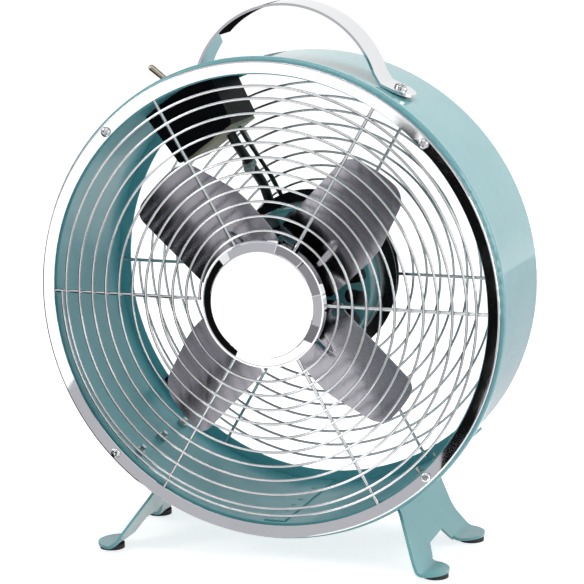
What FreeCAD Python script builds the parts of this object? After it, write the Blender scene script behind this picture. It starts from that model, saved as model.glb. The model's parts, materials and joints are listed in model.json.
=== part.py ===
import FreeCAD, Part
import math
import os
import re

import Sketcher
from FreeCAD import Placement, Rotation, Vector

# A drum fan on two sheet-metal feet: a painted steel drum with a chromed ring and wire grille in
# front, a second grille at the back that carries the motor, a four-bladed aluminium impeller, a
# carrying handle on top and a toggle switch in the drum wall.
#
# Every piece is modelled about the drum's axis: X to the right as seen from the front, Y to the
# back from the front face of the chromed ring, Z up from the axis. The last step seats it all on
# the floor, with the origin under the middle of the fan. Lengths are millimetres, angles degrees.

SIZES = {
    # overall
    "ground_clearance": 13.0,     # floor to the lowest point of the drum's lip
    "fit_gap": 0.05,              # between parts that are welded, clamped or screwed together
    "running_gap": 0.03,          # radial, shaft in its bearings
    # drum, one rolled and flanged sheet
    "drum_radius": 130.0,
    "drum_back": 99.5,
    "drum_sheet": 1.0,
    "lip_flare": 7.0,
    "lip_length": 6.0,
    "lip_round": 2.2,
    "front_flange": 2.7,
    "back_flange": 7.5,
    "back_round": 1.6,
    # chromed ring and its screws
    "ring_reveal": 1.0,
    "ring_margin": 2.0,
    "ring_dish": 1.2,
    "ring_sheet": 1.0,
    "ring_screw_shift": 0.55,
    "ring_screw_angle": 45.0,
    "ring_screw_length": 8.0,
    "screw_radius": 1.5,
    "screw_head_radius": 2.75,
    "screw_head_height": 1.9,
    "screw_hole_play": 0.3,
    "wall_screw_length": 8.0,     # of the screws through the drum wall
    # grilles: spokes with a spiral wire in front of them, and the same at the back
    "spoke_radius": 1.0,
    "spoke_lap": 2.0,
    "wire_radius": 0.75,
    "spiral_margin": 4.1,
    "spiral_closing": 2.6,
    "spiral_pitch": 8.17,
    "back_spoke_lap": 4.0,
    "back_spoke_start": 30.0,
    "back_spiral_margin": 5.5,
    # chromed badge and the black carrier behind it
    "badge_radius": 36.1,
    "badge_front": 5.5,
    "badge_face_radius": 30.3,
    "badge_bevel": 1.8,
    "badge_sheet": 1.0,
    "badge_rim": 0.9,
    "carrier_inset": 1.2,
    "clip_reach": 3.2,
    "carrier_plate": 2.0,
    "clip_width": 4.0,
    # impeller
    "blade_tip": 93.9,
    "blade_sheet": 1.0,
    "blade_middle": 26.0,
    "blade_pitch": 0.27,
    "blade_camber": 0.005,
    "blade_phase": 43.0,
    "hub_square": 17.0,
    "root_slit": 1.2,
    "twist_start": 21.0,
    "twist_end": 34.0,
    "lead_root": 20.5,
    "lead_knee": 58.0,
    "lead_tip": 7.5,
    "trail_root": 25.0,
    "trail_tip": 30.0,
    "knee_round": 45.0,
    "lead_corner": 13.0,
    "trail_corner": 9.0,
    "rib_height": 1.9,
    "rib_tip": 47.0,
    "rib_half_width": 5.5,
    "shaft_radius": 2.5,
    "shaft_front": 20.0,
    "collar_radius": 8.0,
    "collar_flange_radius": 17.0,
    "collar_flange": 2.0,
    "collar_length": 12.0,
    "rivet_circle": 12.5,
    "rivet_radius": 1.5,
    "nut_radius": 4.6,
    "nut_height": 4.0,
    # motor
    "cap_radius": 43.9,
    "cap_front": 52.0,
    "cap_sheet": 1.0,
    "cap_round": 5.0,
    "cap_eye_play": 1.5,          # round the shaft where it leaves the cap
    "slot_inner": 29.5,
    "slot_length": 13.0,
    "slot_width": 8.5,
    "slot_round": 3.9,
    "slot_phase": 11.5,
    "slot_count": 18.0,
    "stator_front": 73.0,
    "stator_length": 10.5,
    "stator_radius": 43.7,
    "rotor_radius": 20.0,
    "air_gap": 0.4,
    "end_ring_radius": 17.5,
    "end_ring": 3.0,
    "rotor_overhang": 1.0,
    "winding_circle": 29.5,
    "winding_radius": 5.2,
    "bearing_radius": 6.0,
    "bearing_length": 6.0,
    "boss_wall": 2.0,
    "spigot": 7.0,
    "spacer_wall": 1.6,
    "washer_sheet": 0.8,
    "cover_flange_radius": 50.2,
    "cover_flange": 1.5,
    "cover_radius": 46.5,
    "cover_sheet": 1.2,
    "bolt_circle": 39.0,
    "bolt_radius": 2.0,
    "bolt_head_radius": 3.5,
    "bolt_head_height": 2.2,
    "bolt_nut_height": 3.0,
    "hub_plate_radius": 47.0,
    "hub_plate": 1.5,
    # black clip on the back grille
    "wire_clip_angle": 217.0,
    "wire_clip_width": 6.5,
    "wire_clip_depth": 6.0,
    "wire_clip_lap": 2.5,         # over the drum's back flange
    # handle
    "strap_sheet": 1.5,
    "strap_width": 22.0,
    "strap_middle": 49.8,
    "arch_radius": 56.0,
    "arch_rise": 32.7,            # crown of the handle above the drum
    "arch_inset": 5.205,          # from the arch's side in to where it meets the drum
    "tab_start": 5.0,
    "tab_end": 23.5,
    "tab_screw": 14.5,
    "strap_bend": 3.0,
    "handle_head_radius": 3.8,
    "handle_washer_radius": 5.0,
    # feet
    "foot_sheet": 1.6,
    "foot_angle": 48.4,
    "foot_upper_reach": 19.0,
    "foot_lower_reach": 22.0,
    "foot_splay": 4.7,
    "foot_bend_round": 6.0,
    "pad_radius": 14.0,
    "front_pad_y": 1.5,
    "back_pad_y": 73.5,
    "foot_front": 10.8,
    "foot_back": 88.0,
    "notch_height": 11.0,
    "front_shoulder": 31.0,       # where a leg's edge turns upright
    "back_shoulder": 32.0,
    "foot_screw_inset": 6.0,
    "rubber_radius": 7.2,
    "rubber_height": 3.0,
    "rubber_reach": 6.5,
    # switch box, turned about the axis to where its toggle points
    "box_angle": 127.5,
    "box_left": 11.5,
    "box_right": 29.5,
    "box_flare": 7.0,
    "box_depth": 34.0,
    "box_front": 45.0,
    "box_back": 84.0,
    "box_wall": 2.0,
    "box_cover": 1.8,
    "terminal_middle": 2.0,
    "terminal_pitch": 6.6,
    "terminal_depth": 11.5,
    "terminal_bore": 1.8,
    # toggle switch beside it
    "toggle_angle": 125.7,
    "toggle_y": 74.0,
    "toggle_tilt": 17.0,
    "bushing_radius": 5.9,
    "bushing_bore": 4.3,
    "bushing_out": 5.5,
    "toggle_body_drop": 9.0,
    "toggle_body_height": 16.0,
    "toggle_body_width": 22.0,
    "toggle_body_depth": 14.0,
    "toggle_nut_radius": 8.2,
    "toggle_nut_height": 2.4,
    "lever_ball": 4.0,
    "lever_pivot_drop": 1.5,
    "lever_length": 27.0,
    "lever_neck": 1.5,
    "lever_tip": 1.95,
    # leads, tie and gland
    "lead_angle": 122.0,
    "lead_drop": 7.0,             # straight down out of the box
    "lead_hover": 14.45,          # above the motor where the leads turn to it
    "sleeve_radius": 2.9,
    "sleeve_bend": 12.0,
    "lead_radius": 1.2,
    "tie_reach": 16.0,
    "tie_width": 3.4,
    "tie_sheet": 1.0,
    "tie_lock": 5.0,
    "gland_angle": 136.5,
    "gland_y": 88.0,
    "gland_radius": 5.0,
    "gland_bore": 3.4,
    "gland_head_radius": 7.0,
    "gland_head": 2.5,
    "gland_in": 8.0,
}

# What follows from the sizes above, as formulas of the sheet.
DERIVED = {
    "wall_inner": "drum_radius - drum_sheet",
    "lip_radius": "drum_radius + lip_flare",
    "axis_height": "lip_radius + ground_clearance",
    "front_opening": "drum_radius - front_flange",
    "back_opening": "drum_radius - back_flange",
    "ring_inner": "front_opening + ring_reveal",
    "ring_outer": "lip_radius - ring_margin",
    "ring_screw_circle": "(ring_inner + ring_outer) / 2 - ring_screw_shift",
    "ring_lip": "ring_dish * 0.6",
    "spoke_end": "drum_radius + spoke_lap",
    "spiral_start": "front_opening - spiral_margin",
    "back_spoke_end": "back_opening + back_spoke_lap",
    "back_spiral_start": "back_opening - back_spiral_margin",
    "arch_top": "drum_radius + arch_rise",
    "tab_angle": "acos((arch_radius - arch_inset) / drum_radius) / 1 deg",
    "foot_bend_x": "drum_radius * cos(foot_angle * 1 deg) + foot_splay",
    "toggle_body_top": "wall_inner - toggle_body_drop",
    "lever_pivot": "drum_radius - lever_pivot_drop",
    "spoke_y": "ring_sheet + fit_gap + spoke_radius",
    "lip_front": "ring_sheet + 2 * fit_gap + 2 * spoke_radius",
    "lip_back": "lip_front + lip_length",
    "spiral_y": "ring_sheet - wire_radius",
    "back_spoke_y": "drum_back - drum_sheet - fit_gap - spoke_radius",
    "back_spiral_y": "back_spoke_y + spoke_radius + fit_gap + wire_radius",
    "spoke_start": "badge_radius - 0.6",
    "carrier_front": "spoke_y + spoke_radius + fit_gap",
    "collar_front": "blade_middle + blade_sheet + fit_gap",
    "stator_back": "stator_front + stator_length",
    "stator_bore": "rotor_radius + air_gap",
    "cover_back": "back_spoke_y - spoke_radius - fit_gap",
    "hub_plate_front": "back_spoke_y + spoke_radius + fit_gap",
    "shaft_back": "cover_back - cover_sheet - 0.3",
    "shoulder": "stator_front - spigot",
    "rotor_front": "shoulder - rotor_overhang - end_ring",
    "rotor_back": "stator_back + rotor_overhang + end_ring",
    "bearing_bore": "shaft_radius + running_gap",
    "boss_inner": "bearing_radius + fit_gap",
    "boss_outer": "bearing_radius + boss_wall",
    "rubber_top": "rubber_height - axis_height",
    "box_bottom": "wall_inner - box_depth",
    "foot_bottom": "rubber_top",
    "front_most": "pad_radius - front_pad_y",
    "back_most": "hub_plate_front + hub_plate + fit_gap + bolt_head_height",
    "middle_y": "(back_most - front_most) / 2",
}

doc = FreeCAD.newDocument("drum_fan")
sheet = doc.addObject("Spreadsheet::Sheet", "Sizes")
for row, (alias, length) in enumerate(SIZES.items(), start=1):
    sheet.set("A%d" % row, alias)
    sheet.set("B%d" % row, str(length))
    sheet.setAlias("B%d" % row, alias)
for row, (alias, formula) in enumerate(DERIVED.items(), start=len(SIZES) + 1):
    sheet.set("A%d" % row, alias)
    sheet.set("B%d" % row, "=" + formula)
    sheet.setAlias("B%d" % row, alias)
doc.recompute()

PIECES = []
NAMES = set(SIZES) | set(DERIVED)


def size(name):
    """The present value of one cell of the sheet."""
    return float(sheet.get(name))


def cells(text):
    """A formula in the sheet's words, as the rest of the document writes it."""
    def linked(match):
        return "Sizes." + match.group(0) if match.group(0) in NAMES else match.group(0)
    return re.sub(r"[a-z][a-z_]+", linked, text)


def number(formula):
    """The value that a formula in the sheet's words has now, read from a spare cell."""
    sheet.set("D1", "=" + formula)
    sheet.recompute()
    return float(sheet.get("D1"))


def seat(piece):
    """Move a finished piece from the drum's axis to its place above the floor, and list it."""
    piece.setExpression("Placement.Base.y", cells("-middle_y"))
    piece.setExpression("Placement.Base.z", cells("axis_height"))
    PIECES.append(piece)
    return piece


def origin_plane(body, role):
    return [part for part in body.Origin.OriginFeatures if part.Role == role][0]


def outline(sketch, corners):
    """Close a polygon whose corners are tied to the sheet by their distances from the origin."""
    spots = [Vector(number(across), number(up), 0) for across, up in corners]
    for index, spot in enumerate(spots):
        sketch.addGeometry(Part.LineSegment(spot, spots[(index + 1) % len(spots)]), False)
    for index in range(len(spots)):
        following = (index + 1) % len(spots)
        sketch.addConstraint(Sketcher.Constraint("Coincident", index, 2, following, 1))
    for index, (across, up) in enumerate(corners):
        for kind, text, axis in (("DistanceX", across, -2), ("DistanceY", up, -1)):
            if text == "0":
                sketch.addConstraint(Sketcher.Constraint("PointOnObject", index, 1, axis))
                continue
            made = sketch.addConstraint(Sketcher.Constraint(kind, -1, 1, index, 1, number(text)))
            sketch.setExpression("Constraints[%d]" % made, cells(text))


def turned(label, section):
    """A body of revolution about the drum's axis, from the corners (y, radius) of its section."""
    body = doc.addObject("PartDesign::Body", label)
    sketch = body.newObject("Sketcher::SketchObject", label + "_section")
    sketch.AttachmentSupport = [(origin_plane(body, "YZ_Plane"), "")]
    sketch.MapMode = "FlatFace"
    outline(sketch, section)
    turning = body.newObject("PartDesign::Revolution", label + "_turning")
    turning.Profile = sketch
    turning.ReferenceAxis = (sketch, ["H_Axis"])
    turning.Angle = 360.0
    sketch.Visibility = False
    doc.recompute()
    return body


def rounded(body, radius, wanted):
    """Fillet the circular edges whose (y, radius) pairs, as expressions, are wanted."""
    tip = body.Tip
    marks = [(number(along), number(out)) for along, out in wanted]
    names = []
    for index, edge in enumerate(tip.Shape.Edges, start=1):
        if not isinstance(edge.Curve, Part.Circle):
            continue
        here = (edge.Curve.Center.y, edge.Curve.Radius)
        if any(math.dist(here, mark) < 1e-4 for mark in marks):
            names.append("Edge%d" % index)
    fillet = body.newObject("PartDesign::Fillet", body.Name + "_round")
    fillet.Base = (tip, names)
    fillet.setExpression("Radius", cells(radius))
    doc.recompute()


def pin(name, angle, depth, start, length, radius, side="0"):
    """A cylinder that points away from the drum's axis at an angle, side millimetres off the ray."""
    made = doc.addObject("Part::Cylinder", name)
    made.setExpression("Radius", cells(radius))
    made.setExpression("Height", cells(length))
    made.Placement = Placement(Vector(), Rotation(Vector(0, 1, 0), 1))
    turn = cells("(%s) * 1 deg" % angle)
    out, off = cells(start), cells(side)
    made.setExpression("Placement.Rotation.Angle", "90 deg - " + turn)
    made.setExpression("Placement.Base.x", "(%s) * cos(%s) - (%s) * sin(%s)" % (out, turn, off, turn))
    made.setExpression("Placement.Base.y", cells(depth))
    made.setExpression("Placement.Base.z", "(%s) * sin(%s) + (%s) * cos(%s)" % (out, turn, off, turn))
    return made


def rod(name, angle, circle, start, length, radius):
    """A cylinder along the drum's axis, on a circle about it."""
    made = doc.addObject("Part::Cylinder", name)
    made.setExpression("Radius", cells(radius))
    made.setExpression("Height", cells(length))
    made.Placement = Placement(Vector(), Rotation(Vector(1, 0, 0), -90))
    turn = cells("(%s) * 1 deg" % angle)
    made.setExpression("Placement.Base.x", "(%s) * cos(%s)" % (cells(circle), turn))
    made.setExpression("Placement.Base.y", cells(start))
    made.setExpression("Placement.Base.z", "(%s) * sin(%s)" % (cells(circle), turn))
    return made


def drilled(label, base, tools):
    """The base with every tool cut out of it."""
    drills = doc.addObject("Part::Compound", label + "_drills")
    drills.Links = tools
    cut = doc.addObject("Part::Cut", label)
    cut.Base = base
    cut.Tool = drills
    cut.Label = label
    return cut


def group(label, members):
    """Several separate solids in one node."""
    made = doc.addObject("Part::Compound", label)
    made.Links = members
    return made


def shaped(label, shape):
    """A piece whose shape is built directly from the sheet's values."""
    made = doc.addObject("Part::Feature", label)
    made.Shape = Part.makeCompound([shape])
    return made


def on_ray(angle, out, depth, side=0.0):
    """A point at a distance from the axis along a ray, with a step to the ray's left."""
    turn = math.radians(angle)
    return Vector(out * math.cos(turn) - side * math.sin(turn), depth,
                  out * math.sin(turn) + side * math.cos(turn))


def bent(points, radius):
    """A wire of straight runs with a tangent arc of one radius at every inner point."""
    edges = []
    start = points[0]
    for before, corner, after in zip(points, points[1:], points[2:]):
        back = (before - corner).normalize()
        ahead = (after - corner).normalize()
        half = back.getAngle(ahead) / 2
        reach = radius / math.tan(half)
        first = corner + back * reach
        last = corner + ahead * reach
        centre = corner + (back + ahead).normalize() * (radius / math.sin(half))
        middle = centre + (corner - centre).normalize() * radius
        edges.append(Part.LineSegment(start, first).toShape())
        edges.append(Part.Arc(first, middle, last).toShape())
        start = last
    edges.append(Part.LineSegment(start, points[-1]).toShape())
    return Part.Wire(edges)


def swept(path, section, upright=None):
    """Carry a closed section along a path; upright keeps one direction of it fixed."""
    shell = Part.BRepOffsetAPI.MakePipeShell(path)
    if upright is not None:
        shell.setBiNormalMode(upright)
    shell.add(section, False, False)
    shell.build()
    shell.makeSolid()
    return shell.shape()


def tube(path, radius):
    """A round wire or cable along a path."""
    start = path.OrderedEdges[0]
    heading = start.tangentAt(start.FirstParameter)
    circle = Part.Circle(start.valueAt(start.FirstParameter), heading, radius)
    return swept(path, Part.Wire(circle.toShape()))


def strip(path, outward, thickness, front, back):
    """A flat strip along a path in the XZ plane, from front to back, thickened to one side."""
    start = path.OrderedEdges[0].valueAt(path.OrderedEdges[0].FirstParameter)
    low = Vector(start.x, front, start.z)
    step = outward * thickness
    run = Vector(0, back - front, 0)
    corners = [low, low + step, low + step + run, low + run, low]
    return swept(path, Part.makePolygon(corners), Vector(0, 1, 0))


def aimed(shape, spot, direction, roll=0.0):
    """Stand a shape, drawn upright at the origin, on a spot with its top in a direction."""
    placed = shape.copy()
    turn = Rotation(Vector(0, 0, 1), direction).multiply(Rotation(Vector(0, 0, 1), roll))
    placed.Placement = Placement(spot, turn)
    return placed


def cross_screw(head_radius, head_height, shank, length):
    """A pan-head screw: head above the origin, shank below it, a cross recess in the head."""
    head = Part.makeCylinder(head_radius, head_height)
    head = head.makeFillet(0.6 * head_height, [head.Edges[0]])
    screw = head.fuse(Part.makeCylinder(shank, length, Vector(0, 0, -length))).removeSplitter()
    blade = 0.32 * head_radius
    reach = 1.3 * head_radius
    deep = 0.55 * head_height
    for across, along in ((blade, reach), (reach, blade)):
        low = Vector(-across / 2, -along / 2, head_height - deep)
        screw = screw.cut(Part.makeBox(across, along, 2 * deep, low))
    return screw


def hex_nut(radius, height, bore):
    """A hexagon nut standing on the origin."""
    corners = [Vector(radius * math.cos(turn), radius * math.sin(turn), 0)
               for turn in [math.radians(60 * step) for step in range(7)]]
    block = Part.Face(Part.makePolygon(corners)).extrude(Vector(0, 0, height))
    dome = Part.makeCylinder(radius * 0.98, height)
    dome = dome.makeChamfer(0.12 * radius, [dome.Edges[0]])
    return block.common(dome).cut(Part.makeCylinder(bore, height))


BACK = Vector(0, 1, 0)
FRONT = Vector(0, -1, 0)
FOOT_SIDES = (("right", 1), ("left", -1))
SPOKE_ANGLES = range(0, 360, 60)
RING_SCREW_ANGLES = ["ring_screw_angle + %d" % turn for turn in range(0, 360, 90)]
BOLT_ANGLES = (30, 150, 270)
FOOT_SCREW_PLACES = ("foot_front + foot_screw_inset", "(foot_front + foot_back) / 2",
                     "foot_back - foot_screw_inset")

# ---------------------------------------------------------------------------------------------
# Drum: the wall, the raised lip behind the ring, and an inward flange at each end.
drum = turned("drum_blank", [
    ("lip_front", "front_opening"), ("lip_front", "lip_radius"), ("lip_back", "lip_radius"),
    ("lip_back", "drum_radius"), ("drum_back", "drum_radius"), ("drum_back", "back_opening"),
    ("drum_back - drum_sheet", "back_opening"), ("drum_back - drum_sheet", "wall_inner"),
    ("lip_back - drum_sheet", "wall_inner"), ("lip_back - drum_sheet", "lip_radius - drum_sheet"),
    ("lip_front + drum_sheet", "lip_radius - drum_sheet"), ("lip_front + drum_sheet", "front_opening"),
])
rounded(drum, "lip_round", [("lip_front", "lip_radius"), ("lip_back", "lip_radius")])
rounded(drum, "back_round", [("drum_back", "drum_radius")])

drum_drills = []
for index, angle in enumerate(RING_SCREW_ANGLES):
    drum_drills.append(rod("flange_hole_%d" % index, angle, "ring_screw_circle", "lip_front - 1",
                           "drum_sheet + 2", "screw_radius + fit_gap"))
for side in ("", "180 - "):
    drum_drills.append(pin("handle_hole" + ("_left" if side else "_right"), side + "(tab_angle)",
                           "strap_middle", "wall_inner - 3", "drum_sheet + 4",
                           "screw_radius + fit_gap", ("" if side else "-") + "tab_screw"))
    for place in FOOT_SCREW_PLACES:
        drum_drills.append(pin("foot_hole_%d" % len(drum_drills), side + "(-foot_angle)", place,
                               "wall_inner - 1", "drum_sheet + 2", "screw_radius + fit_gap"))
drum_drills.append(pin("toggle_hole", "toggle_angle", "toggle_y", "wall_inner - 2", "drum_sheet + 4",
                       "bushing_radius + fit_gap"))
drum_drills.append(pin("gland_hole", "gland_angle", "gland_y", "wall_inner - 2", "drum_sheet + 4",
                       "gland_radius + fit_gap"))
seat(drilled("drum_shell", drum, drum_drills))

# ---------------------------------------------------------------------------------------------
# Chromed ring: a dished annulus with a skirt that stands on the drum's front flange.
ring = turned("ring_blank", [
    ("ring_dish - ring_lip", "ring_inner"), ("-ring_lip", "ring_outer"),
    ("lip_front - fit_gap", "ring_outer"),
    ("lip_front - fit_gap", "ring_outer - ring_sheet"), ("ring_sheet", "ring_outer - ring_sheet"),
    ("ring_sheet", "ring_inner"),
])
rounded(ring, "ring_sheet * 0.7", [("-ring_lip", "ring_outer")])
ring_drills = []
for index, angle in enumerate(RING_SCREW_ANGLES):
    ring_drills.append(rod("ring_hole_%d" % index, angle, "ring_screw_circle", "-1", "ring_sheet + 2",
                           "screw_radius + screw_hole_play"))
    ring_drills.append(rod("ring_seat_%d" % index, angle, "ring_screw_circle", "-ring_dish", "ring_dish",
                           "screw_head_radius + screw_hole_play"))
seat(drilled("front_ring", ring, ring_drills))

ring_screw = cross_screw(size("screw_head_radius"), size("screw_head_height"), size("screw_radius"),
                         size("ring_screw_length"))
ring_screws = []
for turn in range(0, 360, 90):
    spot = on_ray(turn + size("ring_screw_angle"), size("ring_screw_circle"), -size("fit_gap"))
    ring_screws.append(aimed(ring_screw, spot, FRONT, roll=turn / 3 + 20))
seat(shaped("front_ring_screws", Part.makeCompound(ring_screws)))


# ---------------------------------------------------------------------------------------------
# Grilles: radial spokes, and a spiral wire made of half turns whose centres change sides.
def spiral(steps, start, depth, wire_radius):
    """A flat spiral from the left inwards, anticlockwise from the front; each turn falls by one step."""
    edges = []
    left = -start
    reach = start
    for step in steps:
        for side in (-1, 1):
            reach -= step / 4
            centre = left - side * reach
            first, last = Vector(centre + side * reach, depth, 0), Vector(centre - side * reach, depth, 0)
            edges.append(Part.Arc(first, Vector(centre, depth, side * reach), last).toShape())
            left = last.x
            reach -= step / 4
    return tube(Part.Wire(edges), wire_radius)


pitch = size("spiral_pitch")
front_turns = int((size("spiral_start") - size("spiral_closing") - size("badge_radius")) / pitch)
back_turns = int((size("back_spiral_start") - size("hub_plate_radius")) / pitch)
front_spokes = [pin("front_spoke_%d" % turn, str(turn), "spoke_y", "spoke_start",
                    "spoke_end - spoke_start", "spoke_radius") for turn in SPOKE_ANGLES]
seat(group("front_spokes", front_spokes))
seat(shaped("front_spiral", spiral([size("spiral_closing")] + [pitch] * front_turns, size("spiral_start"),
                                   size("spiral_y"), size("wire_radius"))))
back_spokes = [pin("back_spoke_%d" % turn, str(turn), "back_spoke_y", "back_spoke_start",
                   "back_spoke_end - back_spoke_start", "spoke_radius") for turn in SPOKE_ANGLES]
seat(group("back_spokes", back_spokes))
seat(shaped("back_spiral", spiral([pitch] * back_turns, size("back_spiral_start"),
                                  size("back_spiral_y"), size("wire_radius"))))

# ---------------------------------------------------------------------------------------------
# Badge: a blank chromed cap over a black carrier that clips to the spokes from behind.
badge = turned("badge_cap", [
    ("-badge_front", "0"), ("-badge_front", "badge_face_radius"),
    ("-badge_front + badge_bevel", "badge_radius - badge_rim"),
    ("-badge_front + badge_bevel - badge_rim / 2", "badge_radius - badge_rim"),
    ("-badge_front + badge_bevel - badge_rim / 2", "badge_radius"),
    ("ring_sheet", "badge_radius"), ("ring_sheet", "badge_radius - badge_sheet"),
    ("-badge_front + badge_bevel + badge_sheet", "badge_radius - badge_sheet"),
    ("-badge_front + badge_sheet", "badge_face_radius - badge_sheet"), ("-badge_front + badge_sheet", "0"),
])
rounded(badge, "badge_rim", [("-badge_front", "badge_face_radius")])
seat(badge)
carrier = turned("carrier_blank", [
    ("carrier_front + carrier_plate", "0"), ("carrier_front + carrier_plate", "badge_radius - carrier_inset"),
    ("carrier_front", "badge_radius - carrier_inset"), ("carrier_front", "spoke_start - carrier_inset"),
    ("-badge_front + badge_bevel + badge_sheet + fit_gap", "spoke_start - carrier_inset"),
    ("-badge_front + badge_bevel + badge_sheet + fit_gap", "0"),
])
clips = []
for turn in (60, 240):
    clip = doc.addObject("Part::Box", "carrier_clip_%d" % turn)
    clip.setExpression("Length", cells("clip_reach + 2 * carrier_inset"))
    clip.setExpression("Width", cells("carrier_plate"))
    clip.setExpression("Height", cells("clip_width"))
    spin = cells("%d deg" % turn)
    reach, offset = cells("(badge_radius - 2 * carrier_inset)"), cells("(-clip_width / 2)")
    clip.Placement = Placement(Vector(), Rotation(Vector(0, 1, 0), -turn))
    clip.setExpression("Placement.Base.x", "%s * cos(%s) - %s * sin(%s)" % (reach, spin, offset, spin))
    clip.setExpression("Placement.Base.y", cells("carrier_front"))
    clip.setExpression("Placement.Base.z", "%s * sin(%s) + %s * cos(%s)" % (reach, spin, offset, spin))
    clips.append(clip)
carrier_whole = doc.addObject("Part::MultiFuse", "badge_carrier")
carrier_whole.Shapes = [carrier] + clips
seat(carrier_whole)


# ---------------------------------------------------------------------------------------------
# Impeller: one aluminium pressing, a flat middle whose four blades twist out of its plane.
def blade_depth(out, side):
    """How far back the front face of a blade lies, for a place out along it and to its left."""
    share = (out - size("twist_start")) / (size("twist_end") - size("twist_start"))
    share = min(max(share, 0.0), 1.0)
    ease = share * share * (3 - 2 * share)
    depth = size("blade_middle") - ease * (size("blade_pitch") * side + size("blade_camber") * side * side)
    along = (out - size("twist_start")) / (size("rib_tip") - size("twist_start"))
    if 0 < along < 1:
        swell = 0.35 + 0.65 * math.sqrt(math.sin(math.pi * along))
        width = size("rib_half_width") * math.sqrt(1 - along) * swell
        if abs(side) < width:
            rise = size("rib_height") * min(1.0, 4 * along, 4 * (1 - along))
            depth -= rise * (0.5 + 0.5 * math.cos(math.pi * side / width))
    return depth


def smooth_surface(poles):
    """A cubic surface drawn towards a net of points; it is exactly flat where the net is."""
    counts = (len(poles), len(poles[0]))
    knots = [[float(step) for step in range(count - 2)] for count in counts]
    mults = [[4] + [1] * (count - 4) + [4] for count in counts]
    surface = Part.BSplineSurface()
    surface.buildFromPolesMultsKnots(poles, mults[0], mults[1], knots[0], knots[1], False, False, 3, 3)
    return surface


def blade_sheet_metal():
    """The pressed sheet of one blade before its outline is cut, from the axis past its tip."""
    fine, coarse = 1.6, 4.2
    outs = [-8.0, -4.0, 0.0, 4.0, 8.0, 12.0, 16.0, 18.0]
    while outs[-1] < size("rib_tip"):
        outs.append(outs[-1] + fine)
    while outs[-1] < size("blade_tip") + coarse:
        outs.append(outs[-1] + coarse)
    half_width = 1.35 * size("trail_tip")
    sides = [half_width * step / 20 for step in range(-20, 21)]
    net = [[Vector(out, blade_depth(out, side), side) for side in sides] for out in outs]
    return smooth_surface(net).toShape().extrude(Vector(0, size("blade_sheet"), 0))


def blade_outline():
    """A prism along the axis that trims one blade: a slit at each root, soft corners and a round tip."""
    tip, root, slit = size("blade_tip"), size("hub_square"), size("root_slit")
    lead, knee, trail = size("lead_root"), size("lead_knee"), size("trail_root")
    slope = (size("trail_tip") - trail) / tip
    crotch = (trail + slit) / (1 - slope)
    tips = [Vector(math.sqrt(tip ** 2 - side ** 2), 0, side)
            for side in (-size("lead_tip"), size("trail_tip"))]
    corners = [Vector(root, 0, -root + slit), Vector(lead + slit, 0, -lead), Vector(knee, 0, -lead),
               tips[0], tips[1], Vector(crotch, 0, crotch - slit), Vector(root, 0, root - slit)]
    edges = [Part.LineSegment(start, after).toShape()
             for start, after in zip(corners, corners[1:] + corners[:1])]
    edges[3] = Part.Arc(tips[0], Vector(tip, 0, 0), tips[1]).toShape()
    start = Vector(0, -size("blade_middle"), 0)
    prism = Part.Face(Part.Wire(edges)).translated(start).extrude(Vector(0, 4 * size("blade_middle"), 0))
    for corner, radius in ((corners[2], size("knee_round")), (tips[0], size("lead_corner")),
                           (tips[1], size("trail_corner"))):
        upright = [edge for edge in prism.Edges
                   if math.hypot(edge.CenterOfMass.x - corner.x, edge.CenterOfMass.z - corner.z) < 1e-3]
        prism = prism.makeFillet(radius, upright)
    return prism


blade = blade_sheet_metal().common(blade_outline())
hub = size("hub_square")
impeller = Part.makeBox(2 * hub, size("blade_sheet"), 2 * hub, Vector(-hub, size("blade_middle"), -hub))
for turn in range(0, 360, 90):
    one = blade.copy()
    one.rotate(Vector(), Vector(0, 1, 0), -turn)
    impeller = impeller.fuse(one)
impeller.rotate(Vector(), Vector(0, 1, 0), -size("blade_phase"))
bore = Part.makeCylinder(size("shaft_radius") + size("fit_gap"), 3 * size("blade_sheet"),
                         Vector(0, size("blade_middle") - size("blade_sheet"), 0), BACK)
impeller = impeller.cut(bore)
rivet_spots = [on_ray(turn, size("rivet_circle"), size("blade_middle")) for turn in range(0, 360, 90)]
for spot in rivet_spots:
    rivet_hole = Part.makeCylinder(size("rivet_radius") + size("fit_gap"), 3 * size("blade_sheet"),
                                   spot - BACK * size("blade_sheet"), BACK)
    impeller = impeller.cut(rivet_hole)
seat(shaped("fan_blades", impeller))

collar = turned("collar_blank", [
    ("collar_front", "shaft_radius + fit_gap / 2"), ("collar_front", "collar_flange_radius"),
    ("collar_front + collar_flange", "collar_flange_radius"),
    ("collar_front + collar_flange", "collar_radius"), ("collar_front + collar_length", "collar_radius"),
    ("collar_front + collar_length", "shaft_radius + fit_gap / 2"),
])
collar_drills = [rod("rivet_hole_%d" % turn, str(turn), "rivet_circle", "collar_front - 1",
                     "collar_flange + 2", "rivet_radius + fit_gap") for turn in range(0, 360, 90)]
collar_drills.append(pin("grub_hole", "0", "collar_front + collar_length * 0.65", "0",
                         "collar_radius + 1", "screw_radius + fit_gap"))
seat(drilled("impeller_collar", collar, collar_drills))


def rivet(shank, grip):
    """A rivet along +Z with a domed head under the origin and a closed head above its grip."""
    head = Part.makeSphere(1.9 * shank).common(Part.makeBox(8, 8, 8, Vector(-4, -4, 1.2 * shank)))
    low = head.copy()
    low.rotate(Vector(), Vector(1, 0, 0), 180)
    low.translate(Vector(0, 0, 1.2 * shank))
    high = head.copy()
    high.translate(Vector(0, 0, grip - 1.2 * shank))
    return Part.makeCylinder(shank, grip).fuse([low, high]).removeSplitter()


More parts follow.
